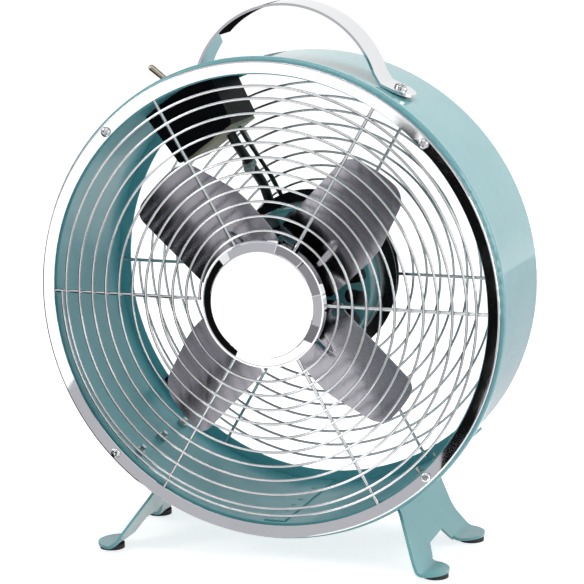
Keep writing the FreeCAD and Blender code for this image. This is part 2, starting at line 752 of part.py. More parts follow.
rivet_grip = size("collar_front") + size("collar_flange") - size("blade_middle") + 2 * size("fit_gap")
rivets = [aimed(rivet(size("rivet_radius"), rivet_grip), spot - BACK * size("fit_gap"), BACK)
          for spot in rivet_spots]
seat(shaped("impeller_rivets", Part.makeCompound(rivets)))
seat(group("collar_grub_screw", [pin("grub_screw", "0", "collar_front + collar_length * 0.65",
                                     "shaft_radius + fit_gap", "collar_radius - shaft_radius",
                                     "screw_radius")]))
nut_start = Vector(0, size("blade_middle") - size("fit_gap"), 0)
shaft_nut = hex_nut(size("nut_radius"), size("nut_height"), size("shaft_radius") + size("fit_gap") / 2)
seat(shaped("impeller_nut", aimed(shaft_nut, nut_start, FRONT)))
seat(turned("motor_shaft", [("shaft_front", "0"), ("shaft_front", "shaft_radius - 0.5"),
                            ("shaft_front + 0.5", "shaft_radius"), ("shaft_back - 0.5", "shaft_radius"),
                            ("shaft_back", "shaft_radius - 0.5"), ("shaft_back", "0")]))

# ---------------------------------------------------------------------------------------------
# Motor: rotor on the shaft, stator stack with its windings, a painted front cap, a black cover.
seat(turned("rotor", [
    ("rotor_front", "shaft_radius + fit_gap / 2"), ("rotor_front", "end_ring_radius"),
    ("rotor_front + end_ring", "end_ring_radius"), ("rotor_front + end_ring", "rotor_radius"),
    ("rotor_back - end_ring", "rotor_radius"), ("rotor_back - end_ring", "end_ring_radius"),
    ("rotor_back", "end_ring_radius"), ("rotor_back", "shaft_radius + fit_gap / 2"),
]))
stator = turned("stator_blank", [
    ("shoulder", "stator_bore"), ("shoulder", "cap_radius - cap_sheet - fit_gap"),
    ("stator_front", "cap_radius - cap_sheet - fit_gap"), ("stator_front", "stator_radius"),
    ("stator_back", "stator_radius"), ("stator_back", "stator_bore"),
])
seat(drilled("stator_stack", stator, [rod("stator_hole_%d" % turn, str(turn), "bolt_circle", "shoulder - 1",
                                          "stator_length + spigot + 2", "bolt_radius + fit_gap")
                                      for turn in BOLT_ANGLES]))
coils = []
for name, place in (("front_coil", "shoulder - winding_radius - fit_gap"),
                    ("back_coil", "stator_back + winding_radius + fit_gap")):
    coil = doc.addObject("Part::Torus", name)
    coil.setExpression("Radius1", cells("winding_circle"))
    coil.setExpression("Radius2", cells("winding_radius"))
    coil.Placement = Placement(Vector(), Rotation(Vector(1, 0, 0), -90))
    coil.setExpression("Placement.Base.y", cells(place))
    coils.append(coil)
seat(group("stator_windings", coils))

cap = turned("cap_blank", [
    ("cap_front", "shaft_radius + cap_eye_play"), ("cap_front", "cap_radius"),
    ("stator_front - fit_gap", "cap_radius"), ("stator_front - fit_gap", "cap_radius - cap_sheet"),
    ("cap_front + cap_sheet", "cap_radius - cap_sheet"),
    ("cap_front + cap_sheet", "boss_outer"), ("cap_front + cap_sheet + bearing_length", "boss_outer"),
    ("cap_front + cap_sheet + bearing_length", "boss_inner"), ("cap_front + cap_sheet", "boss_inner"),
    ("cap_front + cap_sheet", "shaft_radius + cap_eye_play"),
])
rounded(cap, "cap_round", [("cap_front", "cap_radius")])
rounded(cap, "cap_round - cap_sheet", [("cap_front + cap_sheet", "cap_radius - cap_sheet")])
slots = []
slot_count = int(size("slot_count"))
for index in range(slot_count):
    slot = doc.addObject("Part::Box", "slot_%d" % index)
    slot.setExpression("Length", cells("slot_length"))
    slot.setExpression("Width", cells("cap_round + cap_sheet"))
    slot.setExpression("Height", cells("slot_width"))
    turn = cells("(slot_phase + %s * %d) * 1 deg" % (360 / slot_count, index))
    reach, half = cells("slot_inner"), cells("(slot_width / 2)")
    slot.Placement = Placement(Vector(), Rotation(Vector(0, -1, 0), 1))
    slot.setExpression("Placement.Rotation.Angle", turn)
    slot.setExpression("Placement.Base.x", "%s * cos(%s) + %s * sin(%s)" % (reach, turn, half, turn))
    slot.setExpression("Placement.Base.y", cells("cap_front - 1"))
    slot.setExpression("Placement.Base.z", "%s * sin(%s) - %s * cos(%s)" % (reach, turn, half, turn))
    softened = doc.addObject("Part::Fillet", "soft_slot_%d" % index)
    softened.Base = slot
    doc.recompute()
    uprights = [place for place, edge in enumerate(slot.Shape.Edges, start=1)
                if abs(edge.tangentAt(edge.FirstParameter).y) > 0.99]
    softened.Edges = [(place, size("slot_round"), size("slot_round")) for place in uprights]
    slots.append(softened)
seat(drilled("motor_front_cap", cap, slots))

cover = turned("cover_blank", [
    ("stator_back + fit_gap", "bolt_circle + bolt_radius + screw_hole_play"),
    ("stator_back + fit_gap", "cover_flange_radius"),
    ("stator_back + cover_flange", "cover_flange_radius"), ("stator_back + cover_flange", "cover_radius"),
    ("cover_back", "cover_radius"), ("cover_back", "0"), ("cover_back - cover_sheet", "0"),
    ("cover_back - cover_sheet", "boss_inner"), ("cover_back - cover_sheet - bearing_length", "boss_inner"),
    ("cover_back - cover_sheet - bearing_length", "boss_outer"), ("cover_back - cover_sheet", "boss_outer"),
    ("cover_back - cover_sheet", "cover_radius - cover_sheet"),
    ("stator_back + cover_flange", "cover_radius - cover_sheet"),
    ("stator_back + cover_flange", "bolt_circle + bolt_radius + screw_hole_play"),
])
rounded(cover, "cover_sheet", [("cover_back", "cover_radius")])
seat(drilled("motor_back_cover", cover, [rod("cover_hole_%d" % turn, str(turn), "bolt_circle",
                                             "cover_back - cover_sheet - 1", "cover_sheet + 2",
                                             "bolt_radius + fit_gap") for turn in BOLT_ANGLES]))
for label, start in (("front_bearing", "cap_front + cap_sheet + fit_gap"),
                     ("back_bearing", "cover_back - cover_sheet - bearing_length")):
    end = start + " + bearing_length - 2 * fit_gap"
    seat(turned(label, [(start, "bearing_bore"), (start, "bearing_radius"), (end, "bearing_radius"),
                        (end, "bearing_bore")]))
spacer_radius = "shaft_radius + spacer_wall"
spacers = []
for name, start, end in (
        ("front_spacer", "cap_front + cap_sheet + bearing_length + fit_gap", "rotor_front - fit_gap"),
        ("back_spacer", "rotor_back + fit_gap", "rotor_back + fit_gap + washer_sheet")):
    spacers.append(turned(name, [(start, "shaft_radius + fit_gap / 2"), (start, spacer_radius),
                                 (end, spacer_radius), (end, "shaft_radius + fit_gap / 2")]))
seat(group("shaft_spacers", spacers))

plate = turned("hub_plate_blank", [("hub_plate_front", "0"), ("hub_plate_front", "hub_plate_radius"),
                                   ("hub_plate_front + hub_plate", "hub_plate_radius"),
                                   ("hub_plate_front + hub_plate", "0")])
seat(drilled("back_hub_plate", plate, [rod("plate_hole_%d" % turn, str(turn), "bolt_circle",
                                           "hub_plate_front - 1", "hub_plate + 2",
                                           "bolt_radius + fit_gap") for turn in BOLT_ANGLES]))
plate_back = size("hub_plate_front") + size("hub_plate") + size("fit_gap")
bolt_end = size("shoulder") - 1.3 * size("bolt_nut_height")
bolt = cross_screw(size("bolt_head_radius"), size("bolt_head_height"), size("bolt_radius"),
                   plate_back - bolt_end)
bolt_nut = hex_nut(size("bolt_head_radius"), size("bolt_nut_height"),
                   size("bolt_radius") + size("fit_gap"))
bolts = [aimed(bolt, on_ray(turn, size("bolt_circle"), plate_back), BACK) for turn in BOLT_ANGLES]
nuts = [aimed(bolt_nut, on_ray(turn, size("bolt_circle"), size("shoulder") - size("fit_gap")), FRONT)
        for turn in BOLT_ANGLES]
seat(shaped("motor_bolts", Part.makeCompound(bolts)))
seat(shaped("motor_nuts", Part.makeCompound(nuts)))

# A small black clip ties the outer turn of the back spiral to the drum's back flange.
clip_turn = size("wire_clip_angle")
clip_from = size("back_spiral_start") - pitch * (clip_turn - 180) / 360 - 2.5 * size("wire_radius")
clip_low = Vector(clip_from, size("back_most") - size("wire_clip_depth"), -size("wire_clip_width") / 2)
wire_clip = Part.makeBox(size("back_opening") + size("wire_clip_lap") - clip_from,
                         size("wire_clip_depth"), size("wire_clip_width"), clip_low)
wire_clip = wire_clip.makeFillet(0.8, [edge for edge in wire_clip.Edges
                                       if abs(edge.tangentAt(0).y) > 0.99])
wire_clip.rotate(Vector(), Vector(0, 1, 0), -clip_turn)
flange = Part.makeCylinder(size("drum_radius"), size("drum_sheet") + 2 * size("fit_gap"),
                           Vector(0, size("drum_back") - size("drum_sheet") - size("fit_gap"), 0), BACK)
flange = flange.cut(Part.makeCylinder(size("back_opening") - size("fit_gap"), 200, Vector(), BACK))
wire_room = spiral([pitch], size("back_spiral_start"), size("back_spiral_y"),
                   size("wire_radius") + size("fit_gap"))
seat(shaped("back_wire_clip", wire_clip.cut([flange, wire_room])))

# ---------------------------------------------------------------------------------------------
# Handle: one chromed strap bent into an arch, its ends screwed flat to the drum.
def mirrored(shape):
    return shape.mirror(Vector(), Vector(1, 0, 0))


tab_turn = size("tab_angle")
tab_face = size("drum_radius") + size("fit_gap")
tab_start = on_ray(tab_turn, tab_face, 0, -size("tab_start"))
tab_end = on_ray(tab_turn, tab_face, 0, -size("tab_end"))
arch_inner = size("arch_radius") - size("strap_sheet")
arch_centre = Vector(0, 0, size("arch_top") - size("arch_radius"))
spring_height = tab_start.z + size("strap_bend") * 2 - arch_centre.z
arch_foot = arch_centre + Vector(math.sqrt(arch_inner ** 2 - spring_height ** 2), 0, spring_height)
crown = arch_centre + Vector(0, 0, arch_inner)
half_way = arch_centre + (arch_foot - arch_centre + crown - arch_centre).normalize() * arch_inner
end_run = bent([tab_end, tab_start, arch_foot], size("strap_bend"))
right_half = Part.Wire(end_run.OrderedEdges + [Part.Arc(arch_foot, half_way, crown).toShape()])
outward = on_ray(tab_turn, 1, 0)
strap_front = size("strap_middle") - size("strap_width") / 2
half_strap = strip(right_half, outward, size("strap_sheet"), strap_front, strap_front + size("strap_width"))
tab_corners = [edge for edge in half_strap.Edges
               if abs(edge.Length - size("strap_sheet")) < 1e-3
               and abs((edge.CenterOfMass - tab_end).dot(on_ray(tab_turn, 0, 0, 1))) < 1e-3]
half_strap = half_strap.makeFillet(0.48 * size("strap_width"), tab_corners)
strap = half_strap.fuse(mirrored(half_strap)).removeSplitter()
screw_length = size("wall_screw_length")
handle_screw = cross_screw(size("handle_head_radius"), size("screw_head_height"),
                           size("screw_radius"), screw_length)
sheet_nut = hex_nut(2 * size("screw_radius"), 1.6 * size("screw_radius"),
                    size("screw_radius") + size("fit_gap"))
strap_top = tab_face + size("fit_gap") + size("strap_sheet")
drum_skin = Part.makeCylinder(size("drum_radius") + size("fit_gap"), size("drum_back"), Vector(), BACK)
handle_screws = []
handle_nuts = []
handle_washers = []
for turn, reach in ((tab_turn, -size("tab_screw")), (180 - tab_turn, size("tab_screw"))):
    top = on_ray(turn, strap_top, size("strap_middle"), reach)
    nut_face = math.sqrt(size("wall_inner") ** 2 - (abs(reach) + 2 * size("screw_radius")) ** 2)
    inside = on_ray(turn, nut_face - size("fit_gap"), size("strap_middle"), reach)
    under = on_ray(turn, tab_face - screw_length - size("fit_gap"), size("strap_middle"), reach)
    washer = Part.makeCylinder(size("handle_washer_radius"), screw_length, under, on_ray(turn, 1, 0))
    drill = Part.makeCylinder(size("screw_radius") + size("fit_gap"), screw_length, top + on_ray(turn, 2, 0),
                              on_ray(turn, -1, 0))
    strap = strap.cut(drill)
    handle_washers.append(washer.cut([drum_skin, drill]))
    handle_screws.append(aimed(handle_screw, top, on_ray(turn, 1, 0), roll=25))
    handle_nuts.append(aimed(sheet_nut, inside, on_ray(turn, -1, 0)))
seat(shaped("handle_strap", strap))
seat(shaped("handle_screws", Part.makeCompound(handle_screws)))
seat(shaped("handle_nuts", Part.makeCompound(handle_nuts)))
seat(shaped("handle_washers", Part.makeCompound(handle_washers)))


# ---------------------------------------------------------------------------------------------
# Feet: each one sheet, flat against the drum, leaning out to two round pads on rubber discs.
def soft_polygon(spots, radii):
    """A closed wire through the spots, with a tangent arc at each spot that has a radius."""
    edges = []
    ends = []
    for index, corner in enumerate(spots):
        radius = radii.get(index, 0)
        if radius == 0:
            ends.append((corner, corner))
            continue
        back = (spots[index - 1] - corner).normalize()
        ahead = (spots[(index + 1) % len(spots)] - corner).normalize()
        half = back.getAngle(ahead) / 2
        centre = corner + (back + ahead).normalize() * (radius / math.sin(half))
        first, last = [corner + way * (radius / math.tan(half)) for way in (back, ahead)]
        middle = centre + (corner - centre).normalize() * radius
        edges.append(Part.Arc(first, middle, last).toShape())
        ends.append((first, last))
    for index, (_, last) in enumerate(ends):
        following = ends[(index + 1) % len(ends)][0]
        edges.append(Part.LineSegment(last, following).toShape())
    return Part.Wire(Part.__sortEdges__(edges))


def leg_blank():
    """The side view of a foot as a prism across it: front leg, notch, back leg."""
    low = size("foot_bottom") - 1
    front, back = size("front_pad_y"), size("back_pad_y")
    half = size("pad_radius")
    apex = (front + back) / 2
    top = low + size("notch_height")
    corners = [
        (size("foot_front"), 0), (size("foot_front"), low + size("front_shoulder")),
        (front - half + 3, low + 8), (front - half, low + 3), (front - half, low),
        (front + half, low), (front + half + 2, low + 4),
        (apex - 13, top - 1), (apex + 12, top), (back - half - 4, low + 4), (back - half, low),
        (back + half, low), (back + half, low + 4), (size("foot_back") - 7, low + 15),
        (size("foot_back"), low + size("back_shoulder")), (size("foot_back"), 0),
    ]
    radii = {1: 10, 2: 5, 6: 4, 7: 2, 8: 1.5, 9: 3, 12: 3, 13: 9, 14: 9}
    spots = [Vector(0, along, up) for along, up in corners]
    return Part.Face(soft_polygon(spots, radii)).extrude(Vector(2 * size("foot_bend_x"), 0, 0))


def foot():
    """The right foot, with its screw holes."""
    turn = -size("foot_angle")
    skin = size("drum_radius") + size("fit_gap")
    top = on_ray(turn, skin, 0, size("foot_upper_reach"))
    knee = on_ray(turn, skin, 0, -size("foot_lower_reach"))
    bend = Vector(size("foot_bend_x"), 0, size("foot_bottom"))
    toe = bend + Vector(1.5 * size("pad_radius"), 0, 0)
    path = bent([top, knee, bend, toe], size("foot_bend_round"))
    front = size("front_pad_y") - size("pad_radius")
    back = size("back_pad_y") + size("pad_radius")
    outline_top = Part.makeBox(2 * bend.x, 2 * back, -2 * bend.z, Vector(-bend.x, -back / 2, 2 * bend.z))
    for pad_y in (size("front_pad_y"), size("back_pad_y")):
        spot = Vector(bend.x, pad_y, 2 * bend.z)
        outline_top = outline_top.fuse(Part.makeCylinder(size("pad_radius"), -2 * bend.z, spot))
    plate = strip(path, on_ray(turn, 1, 0), size("foot_sheet"), front, back)
    plate = plate.common(leg_blank()).common(outline_top)
    plate = plate.removeSplitter()
    for spot in foot_screw_spots():
        drill = Part.makeCylinder(size("screw_radius") + size("fit_gap"), 12, spot + on_ray(turn, 2, 0),
                                  on_ray(turn, -1, 0))
        plate = plate.cut(drill)
    return plate


def foot_screw_spots():
    """Where the screws of the right foot pass its outer face."""
    face = size("drum_radius") + 2 * size("fit_gap") + size("foot_sheet")
    return [on_ray(-size("foot_angle"), face, number(place)) for place in FOOT_SCREW_PLACES]


right_foot = foot()
seat(shaped("right_foot", right_foot))
seat(shaped("left_foot", mirrored(right_foot)))
foot_screw = cross_screw(size("screw_head_radius"), size("screw_head_height"),
                         size("screw_radius"), screw_length)
foot_screws = []
foot_nuts = []
for spot in foot_screw_spots():
    outward = on_ray(-size("foot_angle"), 1, 0)
    inside = on_ray(-size("foot_angle"), size("wall_inner") - size("fit_gap"), spot.y)
    for shapes, made in ((foot_screws, aimed(foot_screw, spot, outward, roll=15)),
                         (foot_nuts, aimed(sheet_nut, inside, outward * -1))):
        shapes += [made, mirrored(made)]
seat(shaped("foot_screws", Part.makeCompound(foot_screws)))
seat(shaped("foot_nuts", Part.makeCompound(foot_nuts)))
rubbers = []
for name, side in FOOT_SIDES:
    for place in ("front_pad_y", "back_pad_y"):
        rubber = doc.addObject("Part::Cylinder", "rubber_%s_%s" % (name, place[:5].strip("_")))
        rubber.setExpression("Radius", cells("rubber_radius"))
        rubber.setExpression("Height", cells("rubber_height - fit_gap"))
        rubber.setExpression("Placement.Base.x", cells("%d * (foot_bend_x + rubber_reach)" % side))
        rubber.setExpression("Placement.Base.y", cells(place))
        rubber.setExpression("Placement.Base.z", cells("-axis_height"))
        rubbers.append(rubber)
seat(group("foot_rubbers", rubbers))


# ---------------------------------------------------------------------------------------------
# Switch box: drawn upright under the drum's top, then turned to its angle about the axis.
def turned_to(angle, shape):
    """Turn what is drawn on the vertical ray to another angle about the axis."""
    placed = shape.copy()
    placed.rotate(Vector(), Vector(0, 1, 0), 90 - angle)
    return placed


def block(left, right, low, high, front, back):
    """A box given by its faces, on the vertical ray: left is negative X."""
    return Part.makeBox(left + right, back - front, high - low, Vector(-left, front, low))


# Leads from the box to the motor, drawn on their own ray: a sleeved cable and a thin earth wire.
lead_top = size("box_bottom") + 8
cover_touch = size("cover_radius") + size("fit_gap")
lead_out = size("box_bottom") - size("lead_drop")
lead_low = cover_touch + size("lead_hover")
lead_end = cover_touch - 2
sleeve_spots = [Vector(8, 66, lead_top), Vector(7, 67, lead_out), Vector(0, 88, lead_low),
                Vector(-5, 91.4, lead_end)]
lead_spots = [Vector(14, 67, lead_top), Vector(13, 69, lead_out), Vector(7, 88, lead_low + 1),
              Vector(4, 92, lead_end)]
sleeve = turned_to(size("lead_angle"), tube(bent(sleeve_spots, size("sleeve_bend")), size("sleeve_radius")))
earth = turned_to(size("lead_angle"), tube(bent(lead_spots, size("sleeve_bend")), size("lead_radius")))
motor_body = Part.makeCylinder(cover_touch, size("cover_back"), Vector(), BACK)
seat(shaped("motor_lead_sleeve", sleeve.cut(motor_body)))
seat(shaped("earth_lead", earth.cut(motor_body)))
lead_holes = []
for spots, radius in ((sleeve_spots, size("sleeve_radius")), (lead_spots, size("lead_radius"))):
    way = spots[1] - spots[0]
    hole = Part.makeCylinder(radius + size("screw_hole_play"), 1.5 * way.Length, spots[0], way)
    lead_holes.append(turned_to(size("lead_angle"), hole))
tie_way = (sleeve_spots[1] - sleeve_spots[2]).normalize()
tie_reach = size("sleeve_radius") + size("fit_gap") + size("tie_sheet")
tie = Part.makeCylinder(tie_reach, size("tie_width"))
lock = size("tie_lock")
tie_lock = Part.makeBox(lock, lock, size("tie_width") + 1)
tie = tie.fuse(tie_lock.translated(Vector(-lock / 2, -tie_reach - 0.6 * lock, -0.5)))
tie = tie.cut(Part.makeCylinder(tie_reach - size("tie_sheet"), 3 * lock, Vector(0, 0, -lock)))
tie_spot = sleeve_spots[2] + tie_way * size("tie_reach")
seat(shaped("cable_tie", turned_to(size("lead_angle"), aimed(tie, tie_spot, tie_way))))


def flared_block(inset, low, high):
    """The body of the switch box, wider towards the drum wall, drawn in from its sides by an inset."""
    slope = size("box_flare") / size("box_depth")
    right_low, right_high = [size("box_right") - inset + slope * (level - size("box_bottom"))
                             for level in (low, high)]
    left, front = size("box_left") - inset, size("box_front") + inset
    corners = [Vector(-left, front, low), Vector(right_low, front, low), Vector(right_high, front, high),
               Vector(-left, front, high), Vector(-left, front, low)]
    return Part.Face(Part.makePolygon(corners)).extrude(Vector(0, size("box_back") - inset - front, 0))


# Box with an open underside, and the pale insulating plate that closes it.
box_low, box_high = size("box_bottom"), size("wall_inner")
box_left, box_right, box_wall = size("box_left"), size("box_right"), size("box_wall")
box_front, box_back = size("box_front"), size("box_back")
box = flared_block(0, box_low, box_high)
lower_edges = [edge for edge in box.Edges if abs(edge.CenterOfMass.z - box_low) < 1e-3
               and abs(edge.tangentAt(edge.FirstParameter).y) > 0.99]
box = box.makeFillet(box_wall, lower_edges)
box = box.common(Part.makeCylinder(box_high - size("fit_gap"), 200, Vector(), BACK))
box = box.cut(flared_block(box_wall, box_low - 1, box_high + 9))
seat(shaped("switch_box", turned_to(size("box_angle"), box)))
plate_top = box_low - size("fit_gap")
plate_side = box_left - box_wall
box_cover = block(plate_side, box_right - box_wall, plate_top - size("box_cover"), plate_top,
                  box_front + box_wall, box_back)
box_cover = turned_to(size("box_angle"), box_cover).cut(lead_holes)
seat(shaped("switch_box_cover", box_cover))
block_front = box_front + box_wall + size("fit_gap")
block_low, block_depth = box_low + 2.5 * box_wall, size("terminal_depth")
block_middle, block_half = size("terminal_middle"), 1.5 * size("terminal_pitch")
terminals = block(block_half - block_middle, block_half + block_middle, block_low, block_low + block_depth,
                  block_front, block_front + block_depth)
ways = [Part.makeCylinder(size("terminal_bore"), 2 * block_depth,
                          Vector(block_middle + step * size("terminal_pitch"), block_front + block_depth / 2,
                                 block_low - 1), Vector(0, 0, 1)) for step in (-1, 0, 1)]
seat(shaped("terminal_block", turned_to(size("box_angle"), terminals.cut(ways))))

# Toggle switch: its bushing passes the drum wall between two nuts, its lever rocks on a ball.
body_top = size("toggle_body_top")
body_low = body_top - size("toggle_body_height")
half_width, half_depth = size("toggle_body_width") / 2, size("toggle_body_depth") / 2
toggle_y = size("toggle_y")
toggle_body = block(half_width, half_width, body_low, body_top, toggle_y - half_depth, toggle_y + half_depth)
bushing_top = size("drum_radius") + size("bushing_out")
bushing = Part.makeCylinder(size("bushing_radius"), bushing_top - body_top, Vector(0, toggle_y, body_top))
bushing = bushing.makeChamfer(0.5, [bushing.Edges[0]])
well_low = size("lever_pivot") - size("lever_ball") - 2.5
well = Part.makeCylinder(size("bushing_bore"), bushing_top - well_low, Vector(0, toggle_y, well_low))
tags = [block(0.4 - across, 0.4 + across, body_low - 5, body_low, toggle_y - 2.4, toggle_y + 2.4)
        for across in (-8, 0, 8)]
toggle_body = toggle_body.fuse([bushing] + tags).cut(well)
seat(shaped("toggle_switch_body", turned_to(size("toggle_angle"), toggle_body)))
toggle_nut = hex_nut(size("toggle_nut_radius"), size("toggle_nut_height"),
                     size("bushing_radius") + size("fit_gap"))
toggle_nuts = [aimed(toggle_nut, Vector(0, toggle_y, size("drum_radius") + 0.2), Vector(0, 0, 1)),
               aimed(toggle_nut, Vector(0, toggle_y, size("wall_inner") - 0.4), Vector(0, 0, -1))]
seat(shaped("toggle_nuts", turned_to(size("toggle_angle"), Part.makeCompound(toggle_nuts))))
tip_height = size("lever_length") - size("lever_tip")
lever = Part.makeCone(size("lever_neck"), size("lever_tip"), tip_height)
lever = lever.fuse([Part.makeSphere(size("lever_ball")),
                    Part.makeSphere(size("lever_tip"), Vector(0, 0, tip_height))])
lever.rotate(Vector(), Vector(0, 1, 0), -size("toggle_tilt"))
lever.translate(Vector(0, toggle_y, size("lever_pivot")))
seat(shaped("toggle_lever", turned_to(size("toggle_angle"), lever)))

# Gland: the grommet in the drum wall through which the mains lead leaves the fan.
gland_foot = on_ray(size("gland_angle"), size("wall_inner") - size("gland_in"), size("gland_y"))
gland_way = on_ray(size("gland_angle"), 1, 0)
wall_face = on_ray(size("gland_angle"), size("drum_radius") + 0.35, size("gland_y"))
inner_face = on_ray(size("gland_angle"), size("wall_inner") - 0.25 - size("gland_head"), size("gland_y"))
gland = Part.makeCylinder(size("gland_radius"), size("gland_in") + 8, gland_foot, gland_way)
gland = gland.fuse([Part.makeCylinder(size("gland_head_radius"), size("gland_head"), wall_face, gland_way),
                    Part.makeCylinder(size("gland_head_radius"), size("gland_head"), inner_face, gland_way)])
gland = gland.cut(Part.makeCylinder(size("gland_bore"), 4 * size("gland_in"), gland_foot - gland_way * 5,
                                   gland_way))
seat(shaped("cord_gland", gland))

# ---------------------------------------------------------------------------------------------
# Check the document, then write one file for each piece.
doc.recompute()
for item in doc.Objects:
    if "Invalid" in item.State or "Error" in item.State:
        raise RuntimeError("%s did not compute: %s" % (item.Name, item.State))
for piece in PIECES:
    if piece.Shape.isNull() or not piece.Shape.isValid():
        raise RuntimeError("%s has no valid shape" % piece.Label)
os.makedirs("parts", exist_ok=True)
for piece in PIECES:
    piece.Shape.exportStep("parts/%s.step" % piece.Label)
print("wrote %d pieces" % len(PIECES))
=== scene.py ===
# %% [markdown]
# # A chromed drum fan, dressed and lit
# The metal pieces come from a CAD program, so their shapes and places are settled. This lesson
# gives them their finishes, adds the small things that sheet metal and wire show up close, and
# lights the fan in a plain white studio. Everything is in metres: X to the right of somebody who
# faces the fan, Y towards its back, Z up from the table.
# %% Load the CAD model
import bmesh
import bpy
import json
import math
from mathutils import Euler, Matrix, Vector

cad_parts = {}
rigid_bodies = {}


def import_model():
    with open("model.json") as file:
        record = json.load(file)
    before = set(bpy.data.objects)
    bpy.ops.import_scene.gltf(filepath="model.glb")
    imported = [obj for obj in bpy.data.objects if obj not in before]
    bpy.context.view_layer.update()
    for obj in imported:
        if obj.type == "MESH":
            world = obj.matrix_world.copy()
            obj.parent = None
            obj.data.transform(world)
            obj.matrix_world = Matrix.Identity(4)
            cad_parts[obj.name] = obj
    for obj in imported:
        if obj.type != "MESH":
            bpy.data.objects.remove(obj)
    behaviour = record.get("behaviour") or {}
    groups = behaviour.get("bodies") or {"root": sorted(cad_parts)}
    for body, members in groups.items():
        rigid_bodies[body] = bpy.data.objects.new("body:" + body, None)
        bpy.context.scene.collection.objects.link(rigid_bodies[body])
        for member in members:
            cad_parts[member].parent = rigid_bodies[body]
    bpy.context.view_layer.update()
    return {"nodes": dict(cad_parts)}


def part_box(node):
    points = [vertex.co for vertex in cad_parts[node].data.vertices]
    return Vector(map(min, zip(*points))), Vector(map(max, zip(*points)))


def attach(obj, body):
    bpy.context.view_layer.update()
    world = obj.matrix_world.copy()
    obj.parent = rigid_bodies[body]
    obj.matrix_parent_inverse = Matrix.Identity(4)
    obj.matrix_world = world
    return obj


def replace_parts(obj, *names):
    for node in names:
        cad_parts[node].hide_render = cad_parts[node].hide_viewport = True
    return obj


for leftover in list(bpy.data.objects):
    bpy.data.objects.remove(leftover)
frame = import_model()
nodes = frame["nodes"]
AXIS = Vector((0, 0, 0.150))
ALONG_Y = (0, 1, 0)

# %% [markdown]
# ## Effects that several finishes share
# No real surface has one even colour or one even gloss. Paint is a touch thicker in places,
# chrome carries faint smudges, rolled sheet keeps the lines of the rollers. A finish is a small
# graph of nodes, and each of these effects could be drawn afresh in every graph. Here each one is
# a node group: it is built once, with named sockets, and every finish sets its own amounts. The
# groups only put out colours and values. Shaders stay in the materials themselves.
#
# The simplest is orange peel, the faint ripple of sprayed paint, which is one fine noise. `add`
# puts a node into a graph and fills in its sockets, and `group_tree` makes an empty group.
# %% Orange peel
def add(tree, kind, inputs=None, **settings):
    """One node; each input is a number, a colour, a vector or another node's socket."""
    node = tree.nodes.new(kind)
    for name, value in settings.items():
        setattr(node, name, value)
    for name, value in (inputs or {}).items():
        if isinstance(value, bpy.types.NodeSocket):
            tree.links.new(value, node.inputs[name])
        else:
            node.inputs[name].default_value = value
    return node


def group_tree(name, inputs, outputs):
    """An empty node group with named sockets; returns the tree and its two end nodes."""
    tree = bpy.data.node_groups.new(name, "ShaderNodeTree")
    for socket, kind, value in inputs:
        made = tree.interface.new_socket(socket, in_out="INPUT", socket_type="NodeSocket" + kind)
        if value is not None:
            made.default_value = value
    for socket, kind in outputs:
        tree.interface.new_socket(socket, in_out="OUTPUT", socket_type="NodeSocket" + kind)
    return tree, tree.nodes.new("NodeGroupInput"), tree.nodes.new("NodeGroupOutput")


def noise_on_piece(tree, scale, **amounts):
    """Noise that sticks to the piece, because it reads the piece's own coordinates."""
    where = add(tree, "ShaderNodeTexCoord")
    return add(tree, "ShaderNodeTexNoise",
               {"Vector": where.outputs["Object"], "Scale": scale, **amounts})


peel, start, end = group_tree("Orange peel", [("Scale", "Float", 500.0)], [("Height", "Float")])
bumps = noise_on_piece(peel, start.outputs["Scale"], Detail=2.0, Roughness=0.4)
peel.links.new(bumps.outputs["Fac"], end.inputs["Height"])
print(peel.name, "has", len(peel.nodes), "nodes")

# %% Clouded colour
MIX_FIRST, MIX_SECOND, MIX_RESULT = 6, 7, 2


def mix_colours(tree, factor, first, second):
    """Blend two colours. A Mix node has like-named sockets for values, so these go by number."""
    node = add(tree, "ShaderNodeMix", {"Factor": factor}, data_type="RGBA")
    tree.links.new(first, node.inputs[MIX_FIRST])
    tree.links.new(second, node.inputs[MIX_SECOND])
    return node.outputs[MIX_RESULT]


clouds, start, end = group_tree(
    "Clouded colour",
    [("Scale", "Float", 60.0), ("Colour A", "Color", None), ("Colour B", "Color", None)],
    [("Colour", "Color")])
noise = noise_on_piece(clouds, start.outputs["Scale"], Detail=6.0)
spread = add(clouds, "ShaderNodeMapRange",
             {"Value": noise.outputs["Fac"], "From Min": 0.32, "From Max": 0.68})
mixed = mix_colours(clouds, spread.outputs["Result"],
                    start.outputs["Colour A"], start.outputs["Colour B"])
clouds.links.new(mixed, end.inputs["Colour"])
print(clouds.name, "has", len(clouds.nodes), "nodes")

# %% Smudged gloss
smudges, start, end = group_tree(
    "Smudged gloss",
    [("Scale", "Float", 25.0), ("Clean", "Float", 0.1), ("Smudged", "Float", 0.2)],
    [("Roughness", "Float")])
broad = noise_on_piece(smudges, start.outputs["Scale"], Detail=8.0, Roughness=0.65)
result = add(smudges, "ShaderNodeMapRange",
             {"Value": broad.outputs["Fac"], "From Min": 0.4, "From Max": 0.75,
              "To Min": start.outputs["Clean"], "To Max": start.outputs["Smudged"]})
smudges.links.new(result.outputs["Result"], end.inputs["Roughness"])
print(smudges.name, "has", len(smudges.nodes), "nodes")

